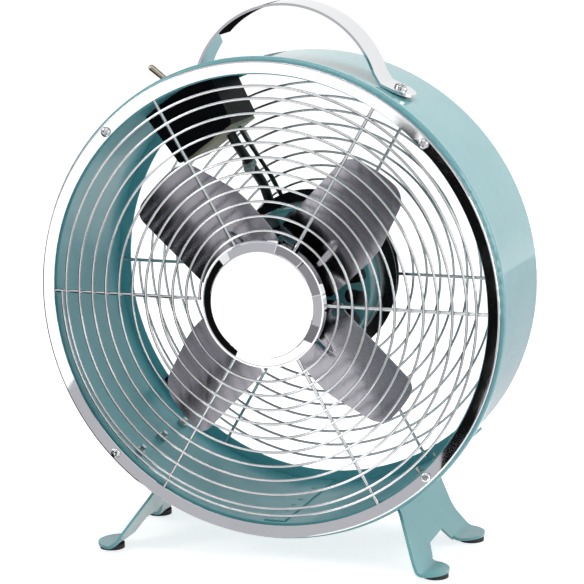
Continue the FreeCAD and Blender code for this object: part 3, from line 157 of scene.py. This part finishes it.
# %% Grain along one direction
grain, start, end = group_tree(
    "Drawn grain",
    [("Stretch", "Vector", (1.0, 1.0, 1.0)), ("Low", "Float", 0.0), ("High", "Float", 1.0)],
    [("Value", "Float")])
where = add(grain, "ShaderNodeTexCoord")
pull = add(grain, "ShaderNodeMapping",
           {"Vector": where.outputs["Object"], "Scale": start.outputs["Stretch"]})
lines = add(grain, "ShaderNodeTexNoise",
            {"Vector": pull.outputs["Vector"], "Scale": 1.0, "Detail": 3.0})
result = add(grain, "ShaderNodeMapRange",
             {"Value": lines.outputs["Fac"], "From Min": 0.3, "From Max": 0.7,
              "To Min": start.outputs["Low"], "To Max": start.outputs["High"]})
grain.links.new(result.outputs["Result"], end.inputs["Value"])
print(grain.name, "has", len(grain.nodes), "nodes")

# %% [markdown]
# The drum is painted thicker outside than inside, but both sides are one piece with one finish.
# The last group tells them apart by the distance from the drum's axis. The sheet lies between 129
# and 130 mm from it, so a threshold within the sheet gives one value outside and another inside.
# %% Inside of the drum
WITHIN_SHEET = 0.1296
SOFT_EDGE = 0.0001
inside, start, end = group_tree(
    "Inside of the drum",
    [("Outer", "Float", 0.0), ("Inner", "Float", 1.0)],
    [("Value", "Float")])
where = add(inside, "ShaderNodeTexCoord")
from_axis = add(inside, "ShaderNodeVectorMath",
                {0: where.outputs["Object"], 1: tuple(-AXIS)}, operation="ADD")
across = add(inside, "ShaderNodeVectorMath",
             {0: from_axis.outputs["Vector"], 1: (1, 0, 1)}, operation="MULTIPLY")
reach = add(inside, "ShaderNodeVectorMath", {0: across.outputs["Vector"]}, operation="LENGTH")
result = add(inside, "ShaderNodeMapRange",
             {"Value": reach.outputs["Value"],
              "From Min": WITHIN_SHEET + SOFT_EDGE, "From Max": WITHIN_SHEET - SOFT_EDGE,
              "To Min": start.outputs["Outer"], "To Max": start.outputs["Inner"]})
inside.links.new(result.outputs["Result"], end.inputs["Value"])
print("shared effects:", [group.name for group in bpy.data.node_groups])

# %% [markdown]
# ## Helpers for finishes
# A finish in Blender is a material whose graph ends in a shader. The Principled shader covers
# paint, metal, rubber and plastic, so each finish here is one Principled shader with a few nodes
# in front of it. `new_finish` makes the material, `use` places a shared effect in it, `join` leads
# the effects into the shader, and `dress` lays the finish on the CAD pieces that share it.
# %% Helpers for finishes
def new_finish(name, **constants):
    """A material, its node tree and its shader, with the sockets that stay constant filled in."""
    made = bpy.data.materials.new(name)
    made.use_nodes = True
    shader = made.node_tree.nodes["Principled BSDF"]
    for socket, value in constants.items():
        shader.inputs[socket.replace("_", " ")].default_value = value
    return made, made.node_tree, shader


def use(tree, group, **inputs):
    """A shared effect with this finish's own amounts."""
    named = {name.replace("_", " "): value for name, value in inputs.items()}
    node = tree.nodes.new("ShaderNodeGroup")
    node.node_tree = group
    for name, value in named.items():
        node.inputs[name].default_value = value
    return node


def bump_from(tree, height, strength, distance):
    return add(tree, "ShaderNodeBump", {"Height": height, "Strength": strength, "Distance": distance})


def join(tree, shader, tint, gloss=None, bump=None):
    """Lead a tint into the shader's colour, a gloss into its roughness, a bump into its normal."""
    tree.links.new(tint.outputs["Colour"], shader.inputs["Base Color"])
    if gloss:
        tree.links.new(gloss.outputs[0], shader.inputs["Roughness"])
    if bump:
        tree.links.new(bump.outputs["Normal"], shader.inputs["Normal"])


def dress(finish, *names):
    for name in names:
        nodes[name].data.materials[0] = finish
    print(finish.name, "on", len(names), "pieces")


print("pieces that wait for a finish:", len(nodes))

# %% [markdown]
# ## Turquoise enamel
# The drum, the feet and the motor's front cap have a glossy stoved enamel: a strong colour under
# a clear shine, with a faint orange peel. The colour goes through the clouded colour group with
# two close turquoises, the ripple through a Bump node, and the shine is the shader's own coat.
# The gun reaches the inside of the drum less well: there the enamel is drier, with hardly any clear
# coat.
# The inside is also given a lighter turquoise, which is painted light on the inner wall, so the
# drum's finish asks the last group which side of the sheet it is on.
# %% Enamel of the feet and the motor's cap
def enamel(name, dark, light):
    """Stoved enamel; returns the material, its tree and its shader, so that a copy can differ."""
    made, tree, shader = new_finish(name, Metallic=0.0, IOR=1.5, Coat_Weight=0.3,
                                    Coat_Roughness=0.04)
    tint = use(tree, clouds, Scale=35.0, Colour_A=(*dark, 1), Colour_B=(*light, 1))
    gloss = use(tree, smudges, Scale=40.0, Clean=0.20, Smudged=0.30)
    ripple = use(tree, peel, Scale=650.0)
    join(tree, shader, tint, gloss, bump_from(tree, ripple.outputs["Height"], 0.05, 0.0004))
    return made, tree, shader


paint = enamel("turquoise enamel", (0.150, 0.435, 0.470), (0.185, 0.480, 0.510))[0]
dress(paint, "right_foot", "left_foot", "motor_front_cap")

# %% Enamel of the drum
drum_paint, tree, shader = enamel("turquoise enamel of the drum",
                                  (0.150, 0.425, 0.465), (0.180, 0.465, 0.500))
outer_tint = shader.inputs["Base Color"].links[0].from_socket
# Painted light: the inner wall gets a lighter turquoise than the outside. It stands in for light
# falling inside the drum and is not a different paint.
inside_painted_light_tint = use(tree, clouds, Scale=28.0,
                 Colour_A=(0.165, 0.590, 0.650, 1), Colour_B=(0.225, 0.670, 0.730, 1))
side = use(tree, inside, Outer=0.0, Inner=1.0)
both = mix_colours(tree, side.outputs["Value"], outer_tint, inside_painted_light_tint.outputs["Colour"])
tree.links.new(both, shader.inputs["Base Color"])
for socket, outer, inner in (("Coat Weight", 0.8, 0.1), ("Roughness", 0.24, 0.32)):
    amount = use(tree, inside, Outer=outer, Inner=inner)
    tree.links.new(amount.outputs["Value"], shader.inputs[socket])
dress(drum_paint, "drum_shell")

# %% [markdown]
# ## Plated metals
# Chrome plate is a mirror with a slightly cool tone. On the ring, the badge and the handle it is
# almost perfect; on the drawn wire under it the plate keeps a little of the wire's grain, so the
# wire gets a duller finish of its own. Nuts, bolts, the shaft and its collar are zinc-plated
# steel, neither bright nor dull, and the toggle switch is nickel, warmer and softer than chrome.
# They are one function with different tones and glosses.
# %% Chrome, zinc and nickel
def plated(name, tint_scale, dark, light, gloss_scale, clean, smudged):
    """Metal with two close tones and faint smudges; returns the material, its tree and shader."""
    made, tree, shader = new_finish(name, Metallic=1.0)
    tint = use(tree, clouds, Scale=tint_scale, Colour_A=(*dark, 1), Colour_B=(*light, 1))
    gloss = use(tree, smudges, Scale=gloss_scale, Clean=clean, Smudged=smudged)
    join(tree, shader, tint, gloss)
    return made, tree, shader


chrome = plated("chrome plate", 18.0, (0.78, 0.785, 0.80), (0.84, 0.845, 0.86), 30.0, 0.012, 0.05)[0]
wire = plated("chromed wire", 140.0, (0.70, 0.70, 0.71), (0.80, 0.80, 0.81), 200.0, 0.03, 0.09)[0]
steel = plated("zinc-plated steel", 160.0, (0.46, 0.46, 0.46), (0.60, 0.60, 0.58),
               220.0, 0.24, 0.42)[0]
nickel = plated("satin nickel", 220.0, (0.52, 0.47, 0.36), (0.64, 0.59, 0.47), 260.0, 0.18, 0.32)[0]
dress(chrome, "front_ring", "front_ring_screws", "badge_cap", "handle_strap", "handle_screws",
      "back_hub_plate")
dress(wire, "front_spokes", "front_spiral", "back_spokes", "back_spiral")
dress(steel, "impeller_collar", "collar_grub_screw", "impeller_nut", "motor_shaft", "rotor",
      "front_bearing", "back_bearing", "shaft_spacers", "motor_bolts", "motor_nuts",
      "handle_nuts", "foot_screws", "foot_nuts")
dress(nickel, "toggle_switch_body", "toggle_nuts", "toggle_lever")

# %% [markdown]
# ## Polished aluminium
# The blades are pressed from rolled sheet and polished. Rolling leaves hair-fine lines, which
# only show in the gloss, so the grain group drives the roughness and a very shallow bump.
# %% Polished aluminium
aluminium, tree, shader = new_finish("polished aluminium", Metallic=1.0)
tint = use(tree, clouds, Scale=22.0, Colour_A=(0.29, 0.28, 0.31, 1), Colour_B=(0.37, 0.36, 0.39, 1))
rolled = use(tree, grain, Stretch=(300.0, 24.0, 24.0), Low=0.12, High=0.19)
join(tree, shader, tint, rolled, bump_from(tree, rolled.outputs["Value"], 0.03, 0.0002))
dress(aluminium, "fan_blades", "impeller_rivets")

# %% [markdown]
# ## Iron and windings of the motor
# The stator is a stack of half-millimetre sheets, and the windings are wire laid side by side
# under dark varnish. Both would take thousands of faces to model for lines that are barely seen,
# so a Wave texture along Y draws the edges of the sheets and the turns of the wire instead.
# %% Stator laminations
def bands_along_y(tree, scale, distortion):
    where = add(tree, "ShaderNodeTexCoord")
    return add(tree, "ShaderNodeTexWave",
               {"Vector": where.outputs["Object"], "Scale": scale, "Distortion": distortion},
               wave_type="BANDS", bands_direction="Y")


laminated, tree, shader = plated("stator laminations", 90.0, (0.50, 0.50, 0.50), (0.62, 0.62, 0.62),
                                 120.0, 0.34, 0.55)
sheets = bands_along_y(tree, 320.0, 0.4)
bump = bump_from(tree, sheets.outputs["Fac"], 0.4, 0.0003)
tree.links.new(bump.outputs["Normal"], shader.inputs["Normal"])
dress(laminated, "stator_stack")

# %% Varnished windings
windings, tree, shader = new_finish("varnished windings", Metallic=0.3, Roughness=0.3,
                                    Coat_Weight=0.6, Coat_Roughness=0.15)
tint = use(tree, clouds, Scale=300.0,
           Colour_A=(0.010, 0.006, 0.005, 1), Colour_B=(0.035, 0.016, 0.009, 1))
turns = bands_along_y(tree, 420.0, 2.0)
join(tree, shader, tint, bump=bump_from(tree, turns.outputs["Fac"], 0.7, 0.0004))
dress(windings, "stator_windings")

# %% [markdown]
# ## Black and pale plastics, black enamel and rubber
# Mouldings have a fine spark-eroded texture and soft highlights. The insulating board on the
# switch box is a dull pale fibre, the terminal block and the tie are milky nylon, the motor's back
# cover is enamelled black, and the feet stand on black rubber. They differ in colour, gloss and
# the size of their texture, so they share one function.
# %% Plastics, black enamel and rubber
TINT_COARSER, GLOSS_COARSER = 4, 6
SKIN_DEPTH = 0.0003


def plastic(name, dark, light, clean, dull, texture, strength, **constants):
    """A finish whose tint, gloss and skin all follow the size of its texture."""
    made, tree, shader = new_finish(name, Metallic=0.0, **constants)
    tint = use(tree, clouds, Scale=texture / TINT_COARSER, Colour_A=(*dark, 1), Colour_B=(*light, 1))
    gloss = use(tree, smudges, Scale=texture / GLOSS_COARSER, Clean=clean, Smudged=dull)
    skin = use(tree, peel, Scale=texture)
    join(tree, shader, tint, gloss, bump_from(tree, skin.outputs["Height"], strength, SKIN_DEPTH))
    return made


black_moulding = plastic("black moulding", (0.004, 0.004, 0.006), (0.008, 0.008, 0.010),
                         0.32, 0.46, 1800.0, 0.10, Specular_IOR_Level=0.03)
black_enamel = plastic("black enamel", (0.004, 0.004, 0.005), (0.008, 0.008, 0.009),
                       0.22, 0.32, 700.0, 0.05, Specular_IOR_Level=0.25)
fibre_board = plastic("fibre board", (0.46, 0.41, 0.29), (0.56, 0.51, 0.38), 0.50, 0.65, 1200.0, 0.20)
nylon = plastic("milky nylon", (0.55, 0.57, 0.55), (0.66, 0.68, 0.66), 0.30, 0.42, 900.0, 0.06,
                Subsurface_Weight=0.15, Subsurface_Scale=0.002)
rubber = plastic("black rubber", (0.014, 0.014, 0.014), (0.028, 0.028, 0.027),
                 0.62, 0.80, 1500.0, 0.25)
sleeving = plastic("varnished sleeving", (0.010, 0.010, 0.011), (0.018, 0.018, 0.020),
                   0.30, 0.45, 2600.0, 0.35)
dress(black_moulding, "switch_box", "badge_carrier", "back_wire_clip", "cord_gland")
dress(black_enamel, "motor_back_cover")
dress(fibre_board, "switch_box_cover")
dress(nylon, "terminal_block", "cable_tie")
dress(rubber, "foot_rubbers", "handle_washers")
dress(sleeving, "motor_lead_sleeve", "earth_lead")

# %% [markdown]
# ## The seam of the drum
# The drum is one strip of sheet rolled round, and its ends lap over each other and are spot-welded
# underneath, where nobody looks. Inside, the upper sheet ends in a small step. The step could be
# a bent box, but a rectangle swept a few degrees about the drum's axis with `spin` follows the
# wall by itself. `add_piece` turns any such drawing into a piece that rides on a body.
# %% A helper for new pieces
def add_piece(name, drawn, finish, body, smooth=True):
    """Turn a bmesh into an object at the origin that rides on a body."""
    bmesh.ops.remove_doubles(drawn, verts=drawn.verts, dist=1e-7)
    bmesh.ops.recalc_face_normals(drawn, faces=drawn.faces)
    data = bpy.data.meshes.new(name)
    drawn.to_mesh(data)
    drawn.free()
    data.polygons.foreach_set("use_smooth", [smooth] * len(data.polygons))
    data.materials.append(finish)
    piece = bpy.data.objects.new(name, data)
    bpy.context.collection.objects.link(piece)
    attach(piece, body)
    print(name, "has", len(data.polygons), "faces")
    return piece


def about_axis(angle, out, depth):
    """A place by its angle round the drum's axis, its distance from it and its depth."""
    turn = math.radians(angle)
    return Vector((out * math.cos(turn), depth, AXIS.z + out * math.sin(turn)))


WALL_INNER = 0.129
DRUM_FRONT, DRUM_BACK = -0.0345, 0.0530
floor_of_drum = about_axis(-90.0, WALL_INNER, 0.0)
print("the drum's lowest point inside, in mm above the table:", round(floor_of_drum.z * 1000, 1))

# %% The lapped seam
SEAM_START, SEAM_TURN, SEAM_STEPS = -93.0, -5.5, 6
SEAM_PROUD, SEAM_SUNK = 0.0009, 0.0003
seam_face = WALL_INNER - SEAM_PROUD
seam_root = WALL_INNER + SEAM_SUNK
seam = bmesh.new()
corners = [seam.verts.new(about_axis(SEAM_START, out, depth)) for out, depth in (
    (seam_face, DRUM_FRONT), (seam_face, DRUM_BACK), (seam_root, DRUM_BACK), (seam_root, DRUM_FRONT))]
section = seam.faces.new(corners)
bmesh.ops.spin(seam, geom=[section], cent=AXIS, axis=ALONG_Y, dvec=(0, 0, 0),
               angle=math.radians(SEAM_TURN), steps=SEAM_STEPS, use_merge=False, use_duplicate=False)
add_piece("drum_seam", seam, drum_paint, "housing", smooth=False)

# %% [markdown]
# The welds stand a little proud of the upper sheet, in a row along the middle of the lap. Each is a
# shallow nugget, an icosphere pressed flat and turned to face the drum's axis.
# %% Spot welds along the seam
WELD_ANGLE = -90.2
WELD_COUNT, WELD_FIRST, WELD_SPACING = 7, 0.008, 0.0120
WELD_RADIUS, WELD_FLATNESS = 0.0017, 0.22
facing = about_axis(WELD_ANGLE + 180, 1, 0) - AXIS
facing_turn = facing.to_track_quat("Z", "Y").to_matrix().to_4x4()
welds = bmesh.new()
for number in range(WELD_COUNT):
    place = about_axis(WELD_ANGLE, seam_face, DRUM_FRONT + WELD_FIRST + number * WELD_SPACING)
    ball = bmesh.ops.create_icosphere(welds, subdivisions=2, radius=WELD_RADIUS)["verts"]
    bmesh.ops.scale(welds, vec=(1, 1, WELD_FLATNESS), verts=ball)
    bmesh.ops.transform(welds, matrix=Matrix.Translation(place) @ facing_turn, verts=ball)
add_piece("seam_welds", welds, drum_paint, "housing")

# %% [markdown]
# ## The badge
# The badge is a pressed chrome cap: a flat face, a slanted bevel round it, a fine step and a
# skirt. A mirror shows every flat facet of a CAD mesh, so this piece is turned again with smooth
# normals: half of its section is drawn from the middle of the face outwards and back along the
# inner side, `spin` carries it round with the ends merged, and `bevel` rounds the rim of the face.
# Edges that stay sharp on the real cap are marked, so smooth shading stops at them.
# %% The badge's section, spun
BADGE_FACE, BADGE_RADIUS = 0.0303, 0.0361
BADGE_BEVEL, BADGE_STEP, BADGE_SHEET = 0.0018, 0.0009, 0.0010
BADGE_STEPS_ROUND = 120
MERGE_WITHIN = 1e-6
low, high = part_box("badge_cap")
front, back = low[1], high[1]
skirt = back - front
bevel_edge = BADGE_RADIUS - BADGE_STEP
step_depth = BADGE_BEVEL - BADGE_STEP / 2
bore = BADGE_RADIUS - BADGE_SHEET
outer_side = [(0, 0), (BADGE_FACE, 0), (bevel_edge, BADGE_BEVEL), (bevel_edge, step_depth),
              (BADGE_RADIUS, step_depth), (BADGE_RADIUS, skirt)]
inner_side = [(bore, skirt), (bore, BADGE_BEVEL + BADGE_SHEET),
              (BADGE_FACE - BADGE_SHEET, BADGE_SHEET), (0, BADGE_SHEET)]
badge = bmesh.new()
section = [badge.verts.new((out, front + depth, AXIS.z)) for out, depth in outer_side + inner_side]
outline = [badge.edges.new(pair) for pair in zip(section, section[1:])]
bmesh.ops.spin(badge, geom=section + outline, cent=AXIS, axis=ALONG_Y, dvec=(0, 0, 0),
               angle=math.radians(360), steps=BADGE_STEPS_ROUND, use_merge=True, use_duplicate=False)
bmesh.ops.remove_doubles(badge, verts=badge.verts, dist=MERGE_WITHIN)
print("the badge is", round(skirt * 1000, 1), "mm deep, with", len(badge.verts), "corners")

# %% The badge's rim and sharp edges
BADGE_RIM = 0.0004
NEAR = 1e-5
SHARP_FROM_DEGREES = 4


def on_rim(corner):
    """Whether a corner lies where the flat face ends."""
    out = (corner.co - AXIS).xz.length
    return abs(out - BADGE_FACE) < NEAR and abs(corner.co.y - front) < NEAR


rim = [edge for edge in badge.edges if all(on_rim(corner) for corner in edge.verts)]
bmesh.ops.bevel(badge, geom=rim, offset=BADGE_RIM, offset_type="OFFSET", affect="EDGES",
                segments=3, profile=0.5, material=-1)
for edge in badge.edges:
    edge.smooth = edge.calc_face_angle(0) < math.radians(SHARP_FROM_DEGREES)
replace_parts(add_piece("badge", badge, chrome, "housing"), "badge_cap")

# %% [markdown]
# ## Welds of the grilles
# Each turn of a spiral wire is resistance-welded to each spoke, and the plating over the joint
# fills it to a soft knot. The knots could be placed by hand, but there are more than a hundred.
# The spiral is drawn with half circles whose centres change sides, so a crossing is where the ray
# of a spoke meets a half circle, and one loop finds them all as it walks inwards half a turn at a
# time. A small flattened ball at each crossing is enough, an icosphere of twenty faces.
# %% Where wires cross spokes
SPOKE_SPACING = 60
PITCH, END_PITCH = 0.00817, 0.0026
FRONT_TURNS, BACK_TURNS = 10, 8


def crossings(steps, start):
    """Pairs of angle and radius at which a spiral crosses six spokes."""
    found, left, reach = [], -start, start
    for step in steps:
        for side in (-1, 1):
            reach -= step / 4
            centre = left - side * reach
            first = 180 if side < 0 else 0
            for angle in range(first, first + 180, SPOKE_SPACING):
                turn = math.radians(angle)
                half_chord = math.sqrt(reach ** 2 - (centre * math.sin(turn)) ** 2)
                found.append((angle, centre * math.cos(turn) + half_chord))
            left = centre - side * reach
            reach -= step / 4
    return found


front_crossings = crossings([END_PITCH] + [PITCH] * FRONT_TURNS, start=0.1232)
back_crossings = crossings([PITCH] * BACK_TURNS, start=0.1170)
print("crossings:", len(front_crossings), "in front and", len(back_crossings), "behind")

# %% The knots of weld
FRONT_WIRES, BACK_WIRES = -0.04385, 0.05360
KNOT_RADIUS, KNOT_FLATNESS = 0.00125, 0.8
for name, found, depth in (("front_grille_welds", front_crossings, FRONT_WIRES),
                           ("back_grille_welds", back_crossings, BACK_WIRES)):
    knots = bmesh.new()
    for angle, out in found:
        ball = bmesh.ops.create_icosphere(knots, subdivisions=1, radius=KNOT_RADIUS)["verts"]
        bmesh.ops.scale(knots, vec=(1, KNOT_FLATNESS, 1), verts=ball)
        bmesh.ops.translate(knots, vec=about_axis(angle, out, depth), verts=ball)
    add_piece(name, knots, wire, "housing")

# %% [markdown]
# ## Thread on the toggle's bushing
# The switch is held by a nut on a fine thread. A real thread is a helix, but at this size rings
# side by side look the same: one small triangle is spun a full turn about the bushing for each
# ring, with the start and the end of the turn merged.
# %% Thread of the bushing
TOGGLE_ANGLE, TOGGLE_DEPTH = 125.7, 0.029125
THREAD_START, THREAD_PITCH, THREAD_RINGS = 0.1331, 0.00055, 4
THREAD_ROOT, THREAD_CREST = 0.0057, 0.00618
THREAD_STEPS_ROUND = 40
pivot = about_axis(TOGGLE_ANGLE, 0.0, TOGGLE_DEPTH)
outward = (about_axis(TOGGLE_ANGLE, 1.0, TOGGLE_DEPTH) - pivot).normalized()
tooth = ((0.0, THREAD_ROOT), (THREAD_PITCH / 2, THREAD_CREST), (THREAD_PITCH, THREAD_ROOT))
thread = bmesh.new()
for ring in range(THREAD_RINGS):
    base = THREAD_START + ring * THREAD_PITCH
    profile = [thread.verts.new(pivot + outward * (base + up) + Vector(ALONG_Y) * out)
               for up, out in tooth]
    edges = [thread.edges.new(pair) for pair in zip(profile, profile[1:] + profile[:1])]
    bmesh.ops.spin(thread, geom=profile + edges, cent=pivot, axis=outward, dvec=(0, 0, 0),
                   angle=math.radians(360), steps=THREAD_STEPS_ROUND, use_merge=True,
                   use_duplicate=False)
add_piece("bushing_thread", thread, nickel, "housing")

# %% [markdown]
# ## Studio
# The fan stands on a white sweep in front of a white backdrop. Paint only needs soft light, but
# chrome shows whatever is around it, so the studio is built for its mirrors as much as for its
# lamps. The floor and the world are plain white for the camera and in mirrors, told apart from
# other light with a Light Path node; for the light that falls on paint they are much dimmer, so
# the white never comes from more light on the object. The floor adds only part of its white that
# way, so the fan's own soft shadow stays on it.
# %% Floor
FLOOR_WIDTH = 12.0
FLOOR_OWN_WHITE = 0.74
WHITE = (1, 1, 1, 1)


def seen_directly(tree):
    """1 for rays that meet the camera or a mirror, 0 for light on its way to a matt surface."""
    path = tree.nodes.new("ShaderNodeLightPath")
    total = path.outputs["Is Camera Ray"]
    for other in ("Is Glossy Ray", "Is Transmission Ray"):
        larger = add(tree, "ShaderNodeMath", {0: total, 1: path.outputs[other]}, operation="MAXIMUM")
        total = larger.outputs[0]
    return total


def studio_object(name, drawn, finish):
    """Turn a bmesh into an object that stands in the studio and is no part of the fan."""
    data = bpy.data.meshes.new(name)
    drawn.to_mesh(data)
    drawn.free()
    data.materials.append(finish)
    made = bpy.data.objects.new(name, data)
    bpy.context.collection.objects.link(made)
    return made


sweep, tree, shader = new_finish("white sweep", Roughness=0.9, Specular_IOR_Level=0.0,
                                 Base_Color=(0.80, 0.80, 0.80, 1), Emission_Color=WHITE)
own_white = add(tree, "ShaderNodeMath", {0: seen_directly(tree), 1: FLOOR_OWN_WHITE},
                operation="MULTIPLY")
tree.links.new(own_white.outputs[0], shader.inputs["Emission Strength"])
drawn = bmesh.new()
bmesh.ops.create_grid(drawn, x_segments=1, y_segments=1, size=FLOOR_WIDTH / 2)
floor = studio_object("floor", drawn, sweep)
print("floor in metres:", [round(side, 1) for side in floor.dimensions])

# %% World
ROOM_LIGHT = 0.32
world = bpy.data.worlds.new("studio")
bpy.context.scene.world = world
world.use_nodes = True
tree = world.node_tree
level = add(tree, "ShaderNodeMapRange",
            {"Value": seen_directly(tree), "To Min": ROOM_LIGHT, "To Max": 1.0})
tree.links.new(level.outputs["Result"], tree.nodes["Background"].inputs["Strength"])
tree.nodes["Background"].inputs["Color"].default_value = WHITE
print("the room lights paint at", ROOM_LIGHT, "of its white")

# %% [markdown]
# ## Cards for the mirrors
# In a studio, black and grey cards stand around chrome: where a mirror would show nothing but
# white, a card draws the line that tells its shape. The black one on the floor at the front left
# darkens the right side of the dished ring and the left bevel of the badge, the one on the floor
# behind gives each wire its dark edges, and upright ones stand where the unlit end of a room
# would be. A dim ceiling and two wings put grey into both edges of every wire and into the flat
# of the handle, which tells them from the white behind them. The cards only take part in mirrors:
# the camera, the shadows and the matt surfaces don't know of them. A card's outline is drawn with
# a few corners and filled with one face. Flat ones are given in metres; upright ones are given by
# the angles at which the fan sees them, with 0 in front of it and 90 at the left hand of somebody
# who faces it.
# %% Helpers for cards
CARD_LIFT = 0.002
ROOM_REACH = 2.4
COOLER = 1.05


def card_finish(name, level):
    """A matt card that glows at one even level, a touch cooler than neutral."""
    return new_finish(name, Roughness=1.0, Specular_IOR_Level=0.0, Base_Color=(0, 0, 0, 1),
                      Emission_Color=(level, level, COOLER * level, 1), Emission_Strength=1.0)[0]


def mirror_card(name, finish, corners):
    """A card that only mirrors see."""
    drawn = bmesh.new()
    drawn.faces.new([drawn.verts.new(corner) for corner in corners])
    card = studio_object(name, drawn, finish)
    for kind in ("camera", "diffuse", "transmission", "volume_scatter", "shadow"):
        setattr(card, "visible_" + kind, False)


def flat(x_from, x_to, y_from, y_to, height=CARD_LIFT):
    return [(x_from, y_from, height), (x_to, y_from, height),
            (x_to, y_to, height), (x_from, y_to, height)]


def upright(azimuth_from, azimuth_to, rise_from, rise_to, reach=ROOM_REACH):
    """The corners of a card that stands round the fan at a given distance."""
    corners = []
    for azimuth, rise in ((azimuth_from, rise_from), (azimuth_to, rise_from),
                          (azimuth_to, rise_to), (azimuth_from, rise_to)):
        turn = math.radians(azimuth)
        height = AXIS.z + reach * math.tan(math.radians(rise))
        corners.append((-reach * math.sin(turn), -reach * math.cos(turn), height))
    return corners


black, dim = card_finish("card black", 0.006), card_finish("card dim", 0.22)
half, grey = card_finish("card half grey", 0.30), card_finish("card grey", 0.54)
pale = card_finish("card pale", 0.72)
print("cards come in", [finish.name for finish in (black, dim, half, grey, pale)])

# %% Cards on the floor
FRONT_LEFT = ((-0.12, 0.10), (-0.12, -0.13), (-0.236, -0.556), (-0.30, -0.675), (-0.365, -0.84),
              (-0.41, -0.93), (-0.9, -1.4), (-2.3, -1.5), (-2.3, 0.10))
mirror_card("front left floor card", black, [(x, y, CARD_LIFT) for x, y in FRONT_LEFT])
mirror_card("back floor card", black, flat(-0.95, -0.10, 0.30, 1.60))
mirror_card("front right floor card", grey, flat(0.13, 1.3, -2.3, -0.10))
mirror_card("front floor card", dim, flat(-0.06, 0.13, -0.52, -0.22))
mirror_card("card at the feet", grey, flat(-0.11, 0.02, -0.125, -0.04))
mirror_card("back right floor card", pale, flat(0.05, 0.75, 0.22, 1.25))

# %% Cards round the fan
mirror_card("back of the room", black, upright(143, 176, -5, 5, reach=1.65))
mirror_card("dim ceiling", half, flat(-1.3, 1.3, -0.25, 1.3, height=1.2))
mirror_card("left wing", half, upright(84, 128, -4, 35))
mirror_card("right wing", half, upright(-132, -82, -4, 35))
mirror_card("left card", black, upright(46, 68, -4, 11.5))
mirror_card("grey wall", grey, upright(10, 45, -8.2, 35, reach=1.03))
mirror_card("dark window", black, upright(-32, -9, 17, 36))
mirror_card("low end of the room", half, upright(-32, -9, -3, 17))
mirror_card("high end of the room", half, upright(-9, 10, 18, 36))

# %% [markdown]
# ## Lamps
# Three soft square lamps light the paint: a large one overhead, a smaller one on the right for the
# drum's wall, and a weak one in front on the left, so that the shadows stay soft.
# %% Lamps
def lamp(name, place, width, power):
    """A square area lamp that faces the middle of the fan."""
    made = bpy.data.lights.new(name, "AREA")
    made.size = width
    made.energy = power
    carrier = bpy.data.objects.new(name, made)
    carrier.location = place
    carrier.rotation_euler = (AXIS - Vector(place)).to_track_quat("-Z", "Y").to_euler()
    bpy.context.collection.objects.link(carrier)


lamp("top softbox", (0.1, 0.0, 1.8), width=1.0, power=14.0)
lamp("right softbox", (1.6, 0.0, 0.5), width=0.9, power=9.0)
lamp("left softbox", (-1.3, -1.0, 1.0), width=0.6, power=5.0)
print("lamps in watts:", {light.name: light.energy for light in bpy.data.lights})

# %% [markdown]
# ## Camera
# The camera stands to the right and a little above the fan and looks slightly down, from about
# a metre and a half with a long lens, so the drum stays round.
# %% Camera
CAMERA_PLACE = Vector((0.5164, -1.4290, 0.4659))
CAMERA_PITCH, CAMERA_ROLL, CAMERA_HEADING = 78.152, 1.000, 19.658
LENS_MM, FILM_WIDTH_MM = 167.7945, 36.0
camera_data = bpy.data.cameras.new("camera")
camera = bpy.data.objects.new("camera", camera_data)
bpy.context.collection.objects.link(camera)
turn = Euler([math.radians(angle) for angle in (CAMERA_PITCH, CAMERA_ROLL, CAMERA_HEADING)])
camera.matrix_world = Matrix.Translation(CAMERA_PLACE) @ turn.to_matrix().to_4x4()
camera_data.sensor_width = FILM_WIDTH_MM
camera_data.lens = LENS_MM
camera_data.clip_start = 0.05
bpy.context.scene.camera = camera
bpy.context.scene.view_settings.view_transform = "Standard"
print("camera to the drum's axis in metres:", round((CAMERA_PLACE - AXIS).length, 2))
